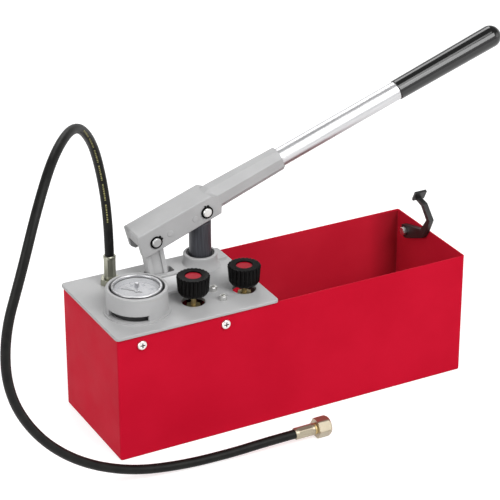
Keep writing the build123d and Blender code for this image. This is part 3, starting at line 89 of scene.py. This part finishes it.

# Raised pad on the plate, in front of the link, painted lighter as painted light
LIT_PAD_LOW = (-0.1575, -0.0095, 0.1742)
LIT_PAD_HIGH = (-0.1055, 0.0315, 0.1785)

# Rise of the lever's tube towards the grip, in degrees
LEVER_RISE = 19.1

# Gauge's axis, and the bare ring of its case
GAUGE_CENTRE = (-0.197, -0.027, 0)
GAUGE_BARE_RADIUS = 0.0287

# Painted shade in the recesses of the screws in the tank's walls: centres, radius, axis and
# limits
Y_AXIS = 1
Z_AXIS = 2
WALL_SCREWS = [(-0.218, 0, 0.1573), (-0.103, 0, 0.1573)]
RECESS_RADIUS = 0.0034
RECESS_LOW = (-0.3, -0.0863, 0)
RECESS_HIGH = (0, 0.0863, 0.3)
WALL_SCREW_PAINTED_SHADE = (WALL_SCREWS, RECESS_RADIUS, Y_AXIS, RECESS_LOW, RECESS_HIGH)
# Colour of the painted shade in the screws' recesses
RECESS_PAINTED_SHADE = (0.05, 0.012, 0.012)

# Radii of softened edges
SHEET_EDGE = 0.0008
CAST_EDGE = 0.0009
MACHINED_EDGE = 0.0003
BEZEL_EDGE = 0.0006
CLIP_EDGE = 0.0002
MOULDED_EDGE = 0.0005

# Depths of surface relief
ORANGE_PEEL = 0.00006
SAND_GRAIN = 0.00012
TOOL_MARKS = 0.000005
CASE_GRAIN = 0.00001
MOULDED_GRAIN = 0.00002
POLISHED_GRAIN = 0.000002
DRAWN_STREAKS = 0.00001
CLOTH_GRAIN = 0.00008

# Hose: the route's points, from the union round to the floor in front
HOSE_DIAMETER = 0.012
HOSE_ROUTE = [
    (-0.196, 0.0555, 0.214),
    (-0.196, 0.0555, 0.258),
    (-0.203, 0.0535, 0.321),
    (-0.2245, 0.0325, 0.387),
    (-0.265, -0.0125, 0.432),
    (-0.316, -0.0705, 0.4285),
    (-0.3595, -0.118, 0.3865),
    (-0.393, -0.145, 0.3235),
    (-0.420, -0.150, 0.252),
    (-0.4185, -0.1465, 0.1755),
    (-0.3855, -0.1405, 0.1065),
    (-0.332, -0.135, 0.052),
    (-0.264, -0.133, 0.0175),
    (-0.195, -0.136, 0.007),
    (-0.125, -0.141, 0.008),
    (-0.080, -0.1455, 0.013),
    (-0.0385, -0.1455, 0.013),
]

# Plain broken line printed on the hose; its start and end are shares of the length
DASH_LENGTHS = (0.0014, 0.0024, 0.0012, 0.003, 0.0018, 0.0022, 0.0012, 0.0026)
DASH_GAP = 0.0014
DASH_GROUP_GAP = 0.006
DASH_WIDTH = 0.0018
DASH_THICKNESS = 0.00012
DASH_START_SHARE = 0.045
DASH_END_SHARE = 0.215
DASH_STEPS = 4
DASH_ACROSS_SHARES = (-1, -0.5, 0, 0.5, 1)

# Gauge's scale: angles in degrees, and each mark's inner radius and width
DIAL_ZERO = 131
DIAL_SWEEP = 270
DIAL_STEPS = 60
DIAL_MAJOR = 10
DIAL_HALF = 5
DIAL_PRINT = 0.00006
SCALE_RADIUS = 0.0268
MAJOR_MARK = (0.0222, 0.0006)
HALF_MARK = (0.0236, 0.0004)
MINOR_MARK = (0.0248, 0.00022)
SCALE_RINGS = ((SCALE_RADIUS, 0.0003), (0.0166, 0.00018))
RING_PARTS = 2
NUMBER_SIZE = 0.0052
NUMBER_RADIUS = 0.0196
NUMBER_TURN = -90


# Node helpers


def colour(value):
    """Colour with its alpha, from three numbers or one."""
    if isinstance(value, (int, float)):
        return (value, value, value, 1)
    return (*value, 1)


class Graph:
    """Short way to write a material's nodes."""

    def __init__(self, name):
        self.material = bpy.data.materials.new(name)
        self.material.use_nodes = True
        self.tree = self.material.node_tree
        self.tree.nodes.clear()
        self.output = self.add("ShaderNodeOutputMaterial")
        self.shader = self.add("ShaderNodeBsdfPrincipled")
        self.link(self.shader.outputs[0], self.output.inputs["Surface"])
        self.place = self.add("ShaderNodeTexCoord").outputs["Object"]

    def add(self, kind, **values):
        node = self.tree.nodes.new(kind)
        for key, value in values.items():
            setattr(node, key, value)
        return node

    def link(self, source, target):
        self.tree.links.new(source, target)

    def set(self, **values):
        """Sockets of the shader, set or linked."""
        for key, value in values.items():
            socket = self.shader.inputs[key.replace("_", " ")]
            if hasattr(value, "is_output"):
                self.link(value, socket)
            elif isinstance(value, tuple):
                socket.default_value = colour(value)
            else:
                socket.default_value = value

    def noise(self, scale, detail=3, rough=0.5, stretch=(1, 1, 1), turn=(0, 0, 0)):
        """Noise whose scale is in waves per metre, drawn out along turned axes."""
        mapping = self.add("ShaderNodeMapping", vector_type="TEXTURE")
        mapping.inputs["Scale"].default_value = stretch
        mapping.inputs["Rotation"].default_value = turn
        self.link(self.place, mapping.inputs["Vector"])
        texture = self.add("ShaderNodeTexNoise")
        texture.inputs["Scale"].default_value = scale
        texture.inputs["Detail"].default_value = detail
        texture.inputs["Roughness"].default_value = rough
        self.link(mapping.outputs[0], texture.inputs["Vector"])
        return texture.outputs["Fac"]

    def ramp(self, source, low, high, start=0.35, end=0.65):
        """Colour or grey between two values, along a factor."""
        ramp = self.add("ShaderNodeValToRGB")
        ramp.color_ramp.elements[0].position = start
        ramp.color_ramp.elements[1].position = end
        ramp.color_ramp.elements[0].color = colour(low)
        ramp.color_ramp.elements[1].color = colour(high)
        self.link(source, ramp.inputs["Fac"])
        return ramp.outputs["Color"]

    def value(self, source, low, high, start=0.3, end=0.7):
        """Number between two values, along a factor."""
        spread = self.add("ShaderNodeMapRange")
        spread.inputs["From Min"].default_value = start
        spread.inputs["From Max"].default_value = end
        spread.inputs["To Min"].default_value = low
        spread.inputs["To Max"].default_value = high
        self.link(source, spread.inputs["Value"])
        return spread.outputs["Result"]

    def mix(self, factor, first, second):
        """Blend of two colours."""
        mixer = self.add("ShaderNodeMix", data_type="RGBA")
        self.link(factor, mixer.inputs["Factor"])
        for socket, source in ((mixer.inputs["A"], first), (mixer.inputs["B"], second)):
            if isinstance(source, tuple):
                socket.default_value = colour(source)
            else:
                self.link(source, socket)
        return mixer.outputs["Result"]

    def join(self, operation, first, second):
        """Two factors, or a factor and a number, joined by arithmetic."""
        node = self.add("ShaderNodeMath", operation=operation)
        self.link(first, node.inputs[0])
        if hasattr(second, "is_output"):
            self.link(second, node.inputs[1])
        else:
            node.inputs[1].default_value = second
        return node.outputs[0]

    def axis_place(self, axis):
        """Place along one axis of the part's own frame."""
        axes = self.add("ShaderNodeSeparateXYZ")
        self.link(self.place, axes.inputs[0])
        return axes.outputs[axis]

    def along(self, axis, start, end):
        """Factor that climbs from nought at one place on an axis to one at another."""
        return self.value(self.axis_place(axis), 0, 1, start, end)

    def inside(self, low, high):
        """One inside a box in the part's own frame, nought outside it."""
        result = None
        for axis in range(3):
            place = self.axis_place(axis)
            above = self.join("GREATER_THAN", place, low[axis])
            below = self.join("LESS_THAN", place, high[axis])
            between = self.join("MULTIPLY", above, below)
            result = self.join("MULTIPLY", result, between) if result else between
        return result

    def near(self, centres, radius, axis):
        """One within a radius of some axes that run along the named axis, nought outside."""
        flat = [0 if index == axis else 1 for index in range(3)]
        result = None
        for centre in centres:
            offset = self.add("ShaderNodeVectorMath", operation="SUBTRACT")
            self.link(self.place, offset.inputs[0])
            offset.inputs[1].default_value = centre
            level = self.add("ShaderNodeVectorMath", operation="MULTIPLY")
            self.link(offset.outputs[0], level.inputs[0])
            level.inputs[1].default_value = flat
            reach = self.add("ShaderNodeVectorMath", operation="LENGTH")
            self.link(level.outputs[0], reach.inputs[0])
            close = self.join("LESS_THAN", reach.outputs["Value"], radius)
            result = self.join("MAXIMUM", result, close) if result else close
        return result

    def bump(self, height, depth, edge=0.0):
        """Small relief, with edges softened over a radius."""
        relief = self.add("ShaderNodeBump")
        relief.inputs["Distance"].default_value = depth
        relief.inputs["Strength"].default_value = 1
        self.link(height, relief.inputs["Height"])
        if edge:
            bevel = self.add("ShaderNodeBevel", samples=6)
            bevel.inputs["Radius"].default_value = edge
            self.link(bevel.outputs["Normal"], relief.inputs["Normal"])
        self.link(relief.outputs["Normal"], self.shader.inputs["Normal"])


def seen_rays(tree):
    """One for the rays that show the background: straight, mirrored or through glass."""
    rays = tree.nodes.new("ShaderNodeLightPath")
    result = rays.outputs["Is Camera Ray"]
    for name in ("Is Glossy Ray", "Is Transmission Ray"):
        either = tree.nodes.new("ShaderNodeMath")
        either.operation = "MAXIMUM"
        tree.links.new(result, either.inputs[0])
        tree.links.new(rays.outputs[name], either.inputs[1])
        result = either.outputs[0]
    return result


# Materials


def tank_paint():
    """Red powder coat with a little orange peel and dull patches; the inside is painted lighter
    as painted light, with painted shade at the far corner and under the plate.
    """
    graph = Graph("tank_paint")
    broad = graph.noise(9, detail=4)
    outside = graph.ramp(broad, (0.50, 0.0046, 0.022), (0.55, 0.0064, 0.027))
    # painted light: the inside of the tank is a lighter, hazier copy of the red
    painted_lit_inside = graph.ramp(broad, (0.50, 0.012, 0.030), (0.56, 0.017, 0.038))
    # painted shade on the back wall, deepening towards the far corner
    strip = graph.join(
        "MULTIPLY",
        graph.inside(CORNER_LOW, CORNER_HIGH),
        graph.along(0, CORNER_SHADE_START, CORNER_SHADE_END),
    )
    shaded = graph.mix(graph.join("MULTIPLY", strip, CORNER_SHADE), painted_lit_inside, (0.12, 0.012, 0.012))
    face = graph.mix(graph.inside(HOLLOW_LOW, HOLLOW_HIGH), outside, shaded)
    # painted shade inside the tank under the plate, growing deeper towards the left
    under_shade = graph.join(
        "MULTIPLY",
        graph.inside(UNDER_LOW, UNDER_HIGH),
        graph.along(0, UNDER_SHADE_START, UNDER_SHADE_END),
    )
    graph.set(
        Base_Color=graph.mix(under_shade, face, (0.05, 0.005, 0.006)),
        Roughness=graph.value(graph.noise(30, detail=5), 0.40, 0.52),
        Specular_IOR_Level=0.03,
    )
    graph.bump(graph.noise(900, detail=2), ORANGE_PEEL, edge=SHEET_EDGE)
    return graph.material


def cast_paint(name, low, high):
    """Light grey paint over a sand casting, painted lighter on the raised pad as painted light.
    """
    graph = Graph(name)
    fine = graph.noise(1400, detail=3, rough=0.7)
    tone = graph.ramp(graph.noise(22, detail=5), low, high)
    speckled = graph.mix(graph.value(fine, 0.0, 0.35), tone, (0.37, 0.37, 0.373))
    graph.set(
        # painted light: the raised pad is painted much lighter than the plate around it
        Base_Color=graph.mix(graph.inside(LIT_PAD_LOW, LIT_PAD_HIGH), speckled, (0.68, 0.68, 0.69)),
        Roughness=graph.value(fine, 0.42, 0.56),
        Specular_IOR_Level=0.35,
    )
    graph.bump(graph.noise(700, detail=4, rough=0.65), SAND_GRAIN, edge=CAST_EDGE)
    return graph.material


def steel(name, tone, rough, edge=MACHINED_EDGE, turned=(1, 1, 1), shine=1.0, contrast=0.06,
          recess=None):
    """Bare metal with fine tool marks, and painted shade in a recess where one is named."""
    graph = Graph(name)
    marks = graph.noise(700, detail=3, stretch=turned)
    low = tuple((1 - contrast) * part for part in tone)
    face = graph.ramp(marks, low, tone, 0.3, 0.7)
    graph.set(Metallic=shine)
    if recess:
        centres, radius, axis, low_corner, high_corner = recess
        # painted shade: the recess is darkened and made non-metallic
        recess_shade_mask = graph.join(
            "MULTIPLY", graph.near(centres, radius, axis), graph.inside(low_corner, high_corner)
        )
        face = graph.mix(recess_shade_mask, face, RECESS_PAINTED_SHADE)
        graph.set(Metallic=graph.value(recess_shade_mask, shine, 0.0, 0, 1))
    graph.set(Base_Color=face, Roughness=graph.value(marks, rough * 0.9, rough * 1.1))
    graph.bump(marks, TOOL_MARKS, edge=edge)
    return graph.material


def gauge_case_steel():
    """Dark painted case, bare inside above the dial."""
    graph = Graph("gauge_case_steel")
    broad = graph.noise(60, detail=4)
    painted = graph.ramp(broad, (0.035, 0.035, 0.036), (0.055, 0.055, 0.056))
    bare = graph.near([GAUGE_CENTRE], GAUGE_BARE_RADIUS, Z_AXIS)
    graph.set(
        Base_Color=graph.mix(bare, painted, (0.62, 0.62, 0.64)),
        Roughness=graph.value(broad, 0.34, 0.44),
        Metallic=graph.value(bare, 0.0, 0.7, 0, 1),
        Specular_IOR_Level=0.4,
    )
    graph.bump(broad, CASE_GRAIN, edge=MACHINED_EDGE)
    return graph.material


def plastic(name, low, high, rough, depth=MOULDED_GRAIN, edge=MOULDED_EDGE, gloss=0.5):
    """Moulded plastic, or plain paint, with a faint grain."""
    graph = Graph(name)
    grain = graph.noise(800, detail=3)
    graph.set(
        Base_Color=graph.ramp(graph.noise(60, detail=4), low, high),
        Roughness=graph.value(grain, rough * 0.85, rough * 1.2),
        Specular_IOR_Level=gloss,
    )
    graph.bump(grain, depth, edge=edge)
    return graph.material


def brushed_tube():
    """Drawn aluminium tube with streaks along its length."""
    graph = Graph("brushed_tube")
    tilt = (0, -math.radians(LEVER_RISE), 0)
    streaks = graph.noise(700, detail=4, rough=0.6, stretch=(60, 1, 1), turn=tilt)
    bands = graph.noise(160, detail=3, stretch=(12, 1, 1), turn=tilt)
    tone = graph.ramp(streaks, (0.52, 0.52, 0.53), (0.62, 0.62, 0.63), 0.3, 0.7)
    graph.set(
        Base_Color=graph.mix(graph.value(bands, 0.0, 0.4, 0.5, 0.7), tone, (0.40, 0.40, 0.41)),
        Roughness=graph.value(streaks, 0.34, 0.42),
        Metallic=0.9,
    )
    graph.bump(streaks, DRAWN_STREAKS)
    return graph.material


def hose_cover():
    """Black hose cover with the faint wrap of its cloth."""
    graph = Graph("hose_cover")
    broad = graph.noise(70, detail=4)
    grain = graph.noise(1500, detail=3)
    graph.set(
        Base_Color=graph.ramp(broad, (0.003, 0.003, 0.003), (0.008, 0.008, 0.007)),
        Roughness=graph.value(grain, 0.40, 0.54),
        Specular_IOR_Level=0.16,
    )
    graph.bump(grain, CLOTH_GRAIN)
    return graph.material


def clear_glass():
    """Thin clear window."""
    graph = Graph("clear_glass")
    graph.set(
        Base_Color=(0.97, 0.98, 0.98),
        Roughness=graph.value(graph.noise(140, detail=5), 0.01, 0.05),
        Alpha=0.14,
        Specular_IOR_Level=0.6,
    )
    graph.material.surface_render_method = "BLENDED"
    return graph.material


def print_ink(name, tone):
    """Flat printed ink with a slightly uneven tone."""
    graph = Graph(name)
    low = tuple(0.8 * part for part in tone)
    graph.set(Base_Color=graph.ramp(graph.noise(500, detail=3), low, tone), Roughness=0.55)
    return graph.material


def floor_paint():
    """White floor that keeps the shadow and runs out to white."""
    graph = Graph("floor_paint")
    graph.set(
        Base_Color=graph.ramp(graph.noise(3, detail=3), (0.49, 0.49, 0.49), (0.52, 0.52, 0.52)),
        Roughness=0.9,
        Specular_IOR_Level=0.0,
    )
    glow = graph.add("ShaderNodeEmission")
    glow.inputs["Strength"].default_value = FLOOR_GLOW
    nothing = graph.add("ShaderNodeBsdfTransparent")
    nothing.inputs["Color"].default_value = colour(0)
    choose = graph.add("ShaderNodeMixShader")
    graph.link(seen_rays(graph.tree), choose.inputs[0])
    graph.link(nothing.outputs[0], choose.inputs[1])
    graph.link(glow.outputs[0], choose.inputs[2])
    total = graph.add("ShaderNodeAddShader")
    graph.link(graph.shader.outputs[0], total.inputs[0])
    graph.link(choose.outputs[0], total.inputs[1])
    graph.link(total.outputs[0], graph.output.inputs["Surface"])
    return graph.material


RED_PAINT = tank_paint()
CAST_PAINT = cast_paint("cast_paint", (0.375, 0.375, 0.378), (0.42, 0.42, 0.423))
# painted light: the link arm has a lighter copy of the cast paint, standing in for the light that
# falls on it
LIT_LINK_PAINT = cast_paint("lit_link_paint", (0.47, 0.47, 0.473), (0.52, 0.52, 0.523))
ZINC = steel("zinc", (0.72, 0.72, 0.70), 0.32)
SCREW_ZINC = steel("screw_zinc", (0.74, 0.72, 0.70), 0.32, recess=WALL_SCREW_PAINTED_SHADE)
PIN_STEEL = steel("pin_steel", (0.62, 0.62, 0.62), 0.42, shine=0.7)
BRIGHT_STEEL = steel("bright_steel", (0.70, 0.70, 0.71), 0.24)
BEZEL_STEEL = steel("bezel_steel", (0.50, 0.50, 0.51), 0.30, edge=BEZEL_EDGE)
DARK_STEEL = steel(
    "dark_steel", (0.082, 0.084, 0.098), 0.42, turned=(1, 1, 20), shine=0.4, contrast=0.5
)
BRASS = steel("brass", (0.80, 0.62, 0.30), 0.34, shine=0.85)
# painted shade: a darker copy of the brass for the valve block and gland nuts down in the plate's
# holes
SHADED_BRASS = steel("shaded_brass", (0.20, 0.16, 0.07), 0.42, shine=0.7)
NICKEL = steel("nickel", (0.36, 0.36, 0.29), 0.32, turned=(1, 1, 20), contrast=0.15)
BRIGHT_NICKEL = steel("bright_nickel", (0.40, 0.35, 0.26), 0.34, shine=0.85)
POINTER_STEEL = steel("pointer_steel", (0.50, 0.50, 0.52), 0.3)
BLACK_STEEL = plastic(
    "black_steel", (0.012, 0.012, 0.012), (0.020, 0.020, 0.020), 0.42, edge=SHEET_EDGE, gloss=0.4
)
CLIP_STEEL = plastic(
    "clip_steel", (0.002, 0.002, 0.002), (0.004, 0.004, 0.004), 0.4, edge=CLIP_EDGE, gloss=0.1
)
KNOB_PLASTIC = plastic(
    "knob_plastic", (0.0012, 0.001, 0.001), (0.0026, 0.0022, 0.0022), 0.22, gloss=0.09
)
CAP_PLASTIC = plastic(
    "cap_plastic", (0.32, 0.003, 0.014), (0.38, 0.006, 0.020), 0.14, gloss=0.4
)
GRIP_PLASTIC = plastic(
    "grip_plastic", (0.002, 0.002, 0.002), (0.004, 0.004, 0.004), 0.13,
    depth=POLISHED_GRAIN, gloss=0.62,
)
SEAL_RUBBER = plastic(
    "seal_rubber", (0.008, 0.008, 0.008), (0.015, 0.015, 0.015), 0.5, gloss=0.2
)
DIAL_WHITE = plastic(
    "dial_white", (0.42, 0.42, 0.445), (0.48, 0.48, 0.505), 0.4, edge=0, gloss=0.2
)
CASE_STEEL = gauge_case_steel()
TUBE_METAL = brushed_tube()
HOSE_COVER = hose_cover()
GLASS = clear_glass()
BLACK_INK = print_ink("black_ink", (0.05, 0.05, 0.06))
GREY_INK = print_ink("grey_ink", (0.15, 0.15, 0.19))
LINE_INK = print_ink("line_ink", (0.30, 0.28, 0.10))

NODE_MATERIALS = {
    RED_PAINT: ["tank"],
    CAST_PAINT: ["top_plate", "lever_body"],
    LIT_LINK_PAINT: ["link_arm"],
    SCREW_ZINC: ["plate_screws"],
    ZINC: [
        "block_screws", "hook_screw", "hook_nut", "union_locknut", "shutoff_knob_screw",
        "drain_knob_screw", "front_pin",
    ],
    PIN_STEEL: ["rear_pin", "lower_link_pin"],
    BRIGHT_STEEL: [
        "pump_cylinder", "suction_ball", "pressure_ball", "piston_ring", "pressure_pipe",
        "delivery_pipe", "gauge_pipe", "drain_tube", "bourdon_tube",
    ],
    CASE_STEEL: ["gauge_case"],
    BEZEL_STEEL: ["gauge_bezel"],
    DARK_STEEL: ["piston"],
    TUBE_METAL: ["lever_tube"],
    GRIP_PLASTIC: ["lever_grip"],
    KNOB_PLASTIC: ["shutoff_knob", "drain_knob", "suction_strainer"],
    CAP_PLASTIC: ["shutoff_knob_cap", "drain_knob_cap"],
    BRASS: [
        "foot_valve", "shutoff_spindle", "drain_spindle", "gauge_stem", "gauge_movement",
        "pipe_nuts", "hose_tail",
    ],
    SHADED_BRASS: ["valve_block", "gland_nuts"],
    BLACK_STEEL: ["lever_hook"],
    CLIP_STEEL: ["pin_circlips"],
    NICKEL: ["hose_union", "hose_ferrule"],
    BRIGHT_NICKEL: ["end_ferrule", "union_nut"],
    HOSE_COVER: ["hose"],
    SEAL_RUBBER: ["rod_seal", "rod_wiper", "nut_gasket"],
    GLASS: ["gauge_glass"],
    DIAL_WHITE: ["gauge_dial"],
    BLACK_INK: ["gauge_needle"],
    POINTER_STEEL: ["drag_pointer"],
}


def dress_nodes():
    """Give each carried-over node its material."""
    for material, names in NODE_MATERIALS.items():
        for name in names:
            mesh = nodes[name].data
            mesh.materials.clear()
            mesh.materials.append(material)


# Piece helpers


def add_piece(name, mesh, body, material):
    """Put a finished mesh in the scene on its body."""
    piece = bpy.data.objects.new(name, mesh)
    scene.collection.objects.link(piece)
    mesh.materials.clear()
    mesh.materials.append(material)
    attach(piece, body)
    return piece


def mesh_from(name, faces_maker):
    """Mesh made by a function that fills a bmesh."""
    mesh = bpy.data.meshes.new(name)
    shape = bmesh.new()
    faces_maker(shape)
    bmesh.ops.recalc_face_normals(shape, faces=shape.faces)
    shape.to_mesh(mesh)
    shape.free()
    return mesh


def add_slab(shape, corners, base, top):
    """Prism over a flat outline of corner points."""
    low = [shape.verts.new((corner[0], corner[1], base)) for corner in corners]
    high = [shape.verts.new((corner[0], corner[1], top)) for corner in corners]
    count = len(corners)
    shape.faces.new(low)
    shape.faces.new(high)
    for index in range(count):
        after = (index + 1) % count
        shape.faces.new((low[index], low[after], high[after], high[index]))


# Hose


def make_hose():
    """The free hose, on one smooth curve through its route."""
    curve = bpy.data.curves.new("hose_line", "CURVE")
    curve.dimensions = "3D"
    curve.bevel_depth = HOSE_DIAMETER / 2
    curve.bevel_resolution = 8
    curve.resolution_u = 16
    spline = curve.splines.new("NURBS")
    spline.points.add(len(HOSE_ROUTE) - 1)
    for point, place in zip(spline.points, HOSE_ROUTE):
        point.co = (*place, 1)
    spline.order_u = 3
    spline.use_endpoint_u = True
    curve.materials.append(HOSE_COVER)
    hose = bpy.data.objects.new("hose_cover", curve)
    scene.collection.objects.link(hose)
    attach(hose, "frame")
    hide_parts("hose")
    return hose


def hose_centreline(hose):
    """Points along the hose's own spline."""
    line = hose.data.copy()
    line.bevel_depth = 0
    holder = bpy.data.objects.new("hose_probe", line)
    mesh = bpy.data.meshes.new_from_object(holder)
    points = [vertex.co.copy() for vertex in mesh.vertices]
    bpy.data.objects.remove(holder)
    bpy.data.curves.remove(line)
    bpy.data.meshes.remove(mesh)
    return points


def make_hose_line(points, target):
    """Plain broken line printed along the hose, on the side that faces a point."""
    lengths = [0]
    for before, after in zip(points, points[1:]):
        lengths.append(lengths[-1] + (after - before).length)

    def at(distance):
        """Place on the hose's axis, and its direction there."""
        for index in range(1, len(points)):
            if lengths[index] >= distance:
                share = (distance - lengths[index - 1]) / (lengths[index] - lengths[index - 1])
                along = (points[index] - points[index - 1]).normalized()
                return points[index - 1].lerp(points[index], share), along
        return points[-1], (points[-1] - points[-2]).normalized()

    def ring(shape, distance):
        """Row of points across the line, just off the hose's cover."""
        centre, along = at(distance)
        out = (target - centre).normalized()
        out = (out - along * out.dot(along)).normalized()
        side = along.cross(out)
        row = []
        for across in DASH_ACROSS_SHARES:
            angle = across * DASH_WIDTH / HOSE_DIAMETER
            spoke = out * math.cos(angle) + side * math.sin(angle)
            row.append(shape.verts.new(centre + spoke * (HOSE_DIAMETER / 2 + DASH_THICKNESS)))
        return row

    def dashes(shape):
        distance = DASH_START_SHARE * lengths[-1]
        turn = 0
        while distance < DASH_END_SHARE * lengths[-1]:
            size = DASH_LENGTHS[turn % len(DASH_LENGTHS)]
            rings = [
                ring(shape, distance + size * step / DASH_STEPS) for step in range(DASH_STEPS + 1)
            ]
            for near, far in zip(rings, rings[1:]):
                for index in range(len(near) - 1):
                    shape.faces.new((near[index], near[index + 1], far[index + 1], far[index]))
            turn += 1
            distance += size + (DASH_GROUP_GAP if turn % len(DASH_LENGTHS) == 0 else DASH_GAP)

    mesh = mesh_from("hose_print", dashes)
    return add_piece("hose_print", mesh, "frame", LINE_INK)


# Gauge dial


def dial_direction(step):
    """Direction of a mark on the dial; the scale runs clockwise."""
    angle = math.radians(DIAL_ZERO - DIAL_SWEEP * step / DIAL_STEPS)
    return Vector((math.cos(angle), math.sin(angle)))


def make_dial_marks(top):
    """Marks and rings of the dial's scale, as thin print."""
    centre = Vector(GAUGE_CENTRE[:2])

    def slab(shape, corners):
        add_slab(shape, [centre + corner for corner in corners], top, top + DIAL_PRINT)

    def bar(shape, direction, start, width):
        side = Vector((-direction.y, direction.x)) * width / 2
        near = direction * start
        far = direction * SCALE_RADIUS
        slab(shape, [near - side, far - side, far + side, near + side])

    def marks(shape):
        for step in range(DIAL_STEPS + 1):
            if step % DIAL_MAJOR == 0:
                start, width = MAJOR_MARK
            elif step % DIAL_HALF == 0:
                start, width = HALF_MARK
            else:
                start, width = MINOR_MARK
            bar(shape, dial_direction(step), start, width)
        for part in range(DIAL_STEPS * RING_PARTS):
            start = dial_direction(part / RING_PARTS)
            end = dial_direction((part + 1) / RING_PARTS)
            for outer, width in SCALE_RINGS:
                inner = outer - width
                slab(shape, [start * outer, end * outer, end * inner, start * inner])

    return add_piece("dial_marks", mesh_from("dial_marks", marks), "frame", GREY_INK)


def make_dial_numbers(top):
    """Plain numbers of the scale, upright towards the dial's own top."""
    shape = bmesh.new()
    for step in range(0, DIAL_STEPS + 1, DIAL_MAJOR):
        text = bpy.data.curves.new("number", "FONT")
        text.body = str(step)
        text.size = NUMBER_SIZE
        text.align_x = "CENTER"
        text.align_y = "CENTER"
        text.extrude = DIAL_PRINT / 2
        holder = bpy.data.objects.new("number", text)
        mesh = bpy.data.meshes.new_from_object(holder)
        direction = dial_direction(step) * NUMBER_RADIUS
        spot = Vector(GAUGE_CENTRE) + Vector((direction.x, direction.y, top + DIAL_PRINT / 2))
        turn = Matrix.Rotation(math.radians(NUMBER_TURN), 4, "Z")
        mesh.transform(Matrix.Translation(spot) @ turn)
        shape.from_mesh(mesh)
        bpy.data.objects.remove(holder)
        bpy.data.curves.remove(text)
        bpy.data.meshes.remove(mesh)
    mesh = bpy.data.meshes.new("dial_numbers")
    shape.to_mesh(mesh)
    shape.free()
    return add_piece("dial_numbers", mesh, "frame", GREY_INK)


# Stage


def make_camera():
    """Camera at the photograph's viewing point."""
    azimuth = math.radians(CAMERA_AZIMUTH)
    elevation = math.radians(CAMERA_ELEVATION)
    back = Vector((
        math.sin(azimuth) * math.cos(elevation),
        -math.cos(azimuth) * math.cos(elevation),
        math.sin(elevation),
    ))
    camera = bpy.data.cameras.new("camera")
    camera.sensor_width = SENSOR
    camera.lens = FOCAL_PIXELS * SENSOR / IMAGE_SIZE
    camera.clip_end = CLIP_END
    holder = bpy.data.objects.new("camera", camera)
    holder.location = CAMERA_PLACE
    holder.rotation_euler = back.to_track_quat("Z", "Y").to_euler()
    scene.collection.objects.link(holder)
    scene.camera = holder


def make_floor():
    """Plain pale floor."""
    half = FLOOR_SIZE / 2

    def plane(shape):
        corners = [(-half, -half), (half, -half), (half, half), (-half, half)]
        shape.faces.new([shape.verts.new((x, y, 0)) for x, y in corners])

    mesh = mesh_from("floor", plane)
    mesh.materials.append(floor_paint())
    floor = bpy.data.objects.new("floor", mesh)
    scene.collection.objects.link(floor)


def make_world():
    """Even surroundings, with a white backdrop up to a height."""
    world = bpy.data.worlds.new("world")
    world.use_nodes = True
    scene.world = world
    tree = world.node_tree
    tree.nodes.clear()
    output = tree.nodes.new("ShaderNodeOutputWorld")
    background = tree.nodes.new("ShaderNodeBackground")
    background.inputs["Color"].default_value = colour(1)
    direction = tree.nodes.new("ShaderNodeTexCoord")
    axes = tree.nodes.new("ShaderNodeSeparateXYZ")
    backdrop = tree.nodes.new("ShaderNodeMapRange")
    backdrop.inputs["From Min"].default_value = BACKDROP_RISE
    backdrop.inputs["From Max"].default_value = BACKDROP_TOP
    backdrop.inputs["To Min"].default_value = 1
    backdrop.inputs["To Max"].default_value = WORLD_STRENGTH
    strength = tree.nodes.new("ShaderNodeMapRange")
    strength.inputs["To Min"].default_value = WORLD_STRENGTH
    tree.links.new(direction.outputs["Generated"], axes.inputs[0])
    tree.links.new(axes.outputs["Z"], backdrop.inputs["Value"])
    tree.links.new(seen_rays(tree), strength.inputs["Value"])
    tree.links.new(backdrop.outputs["Result"], strength.inputs["To Max"])
    tree.links.new(strength.outputs["Result"], background.inputs["Strength"])
    tree.links.new(background.outputs[0], output.inputs["Surface"])


def make_lamps():
    """Soft square lamps that look at the pump."""
    for name, place, size, power in LAMPS:
        lamp = bpy.data.lights.new(name, "AREA")
        lamp.shape = "SQUARE"
        lamp.size = size
        lamp.energy = power
        holder = bpy.data.objects.new(name, lamp)
        holder.location = place
        back = Vector(place) - Vector(LAMP_TARGET)
        holder.rotation_euler = back.to_track_quat("Z", "Y").to_euler()
        scene.collection.objects.link(holder)


make_camera()
hose = make_hose()
hose_points = hose_centreline(hose)
hose_print = make_hose_line(hose_points, CAMERA_PLACE)
dress_nodes()
dial_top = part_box("gauge_dial")[1].z
make_dial_marks(dial_top)
make_dial_numbers(dial_top)
make_floor()
make_world()
make_lamps()
scene.view_settings.view_transform = "Standard"
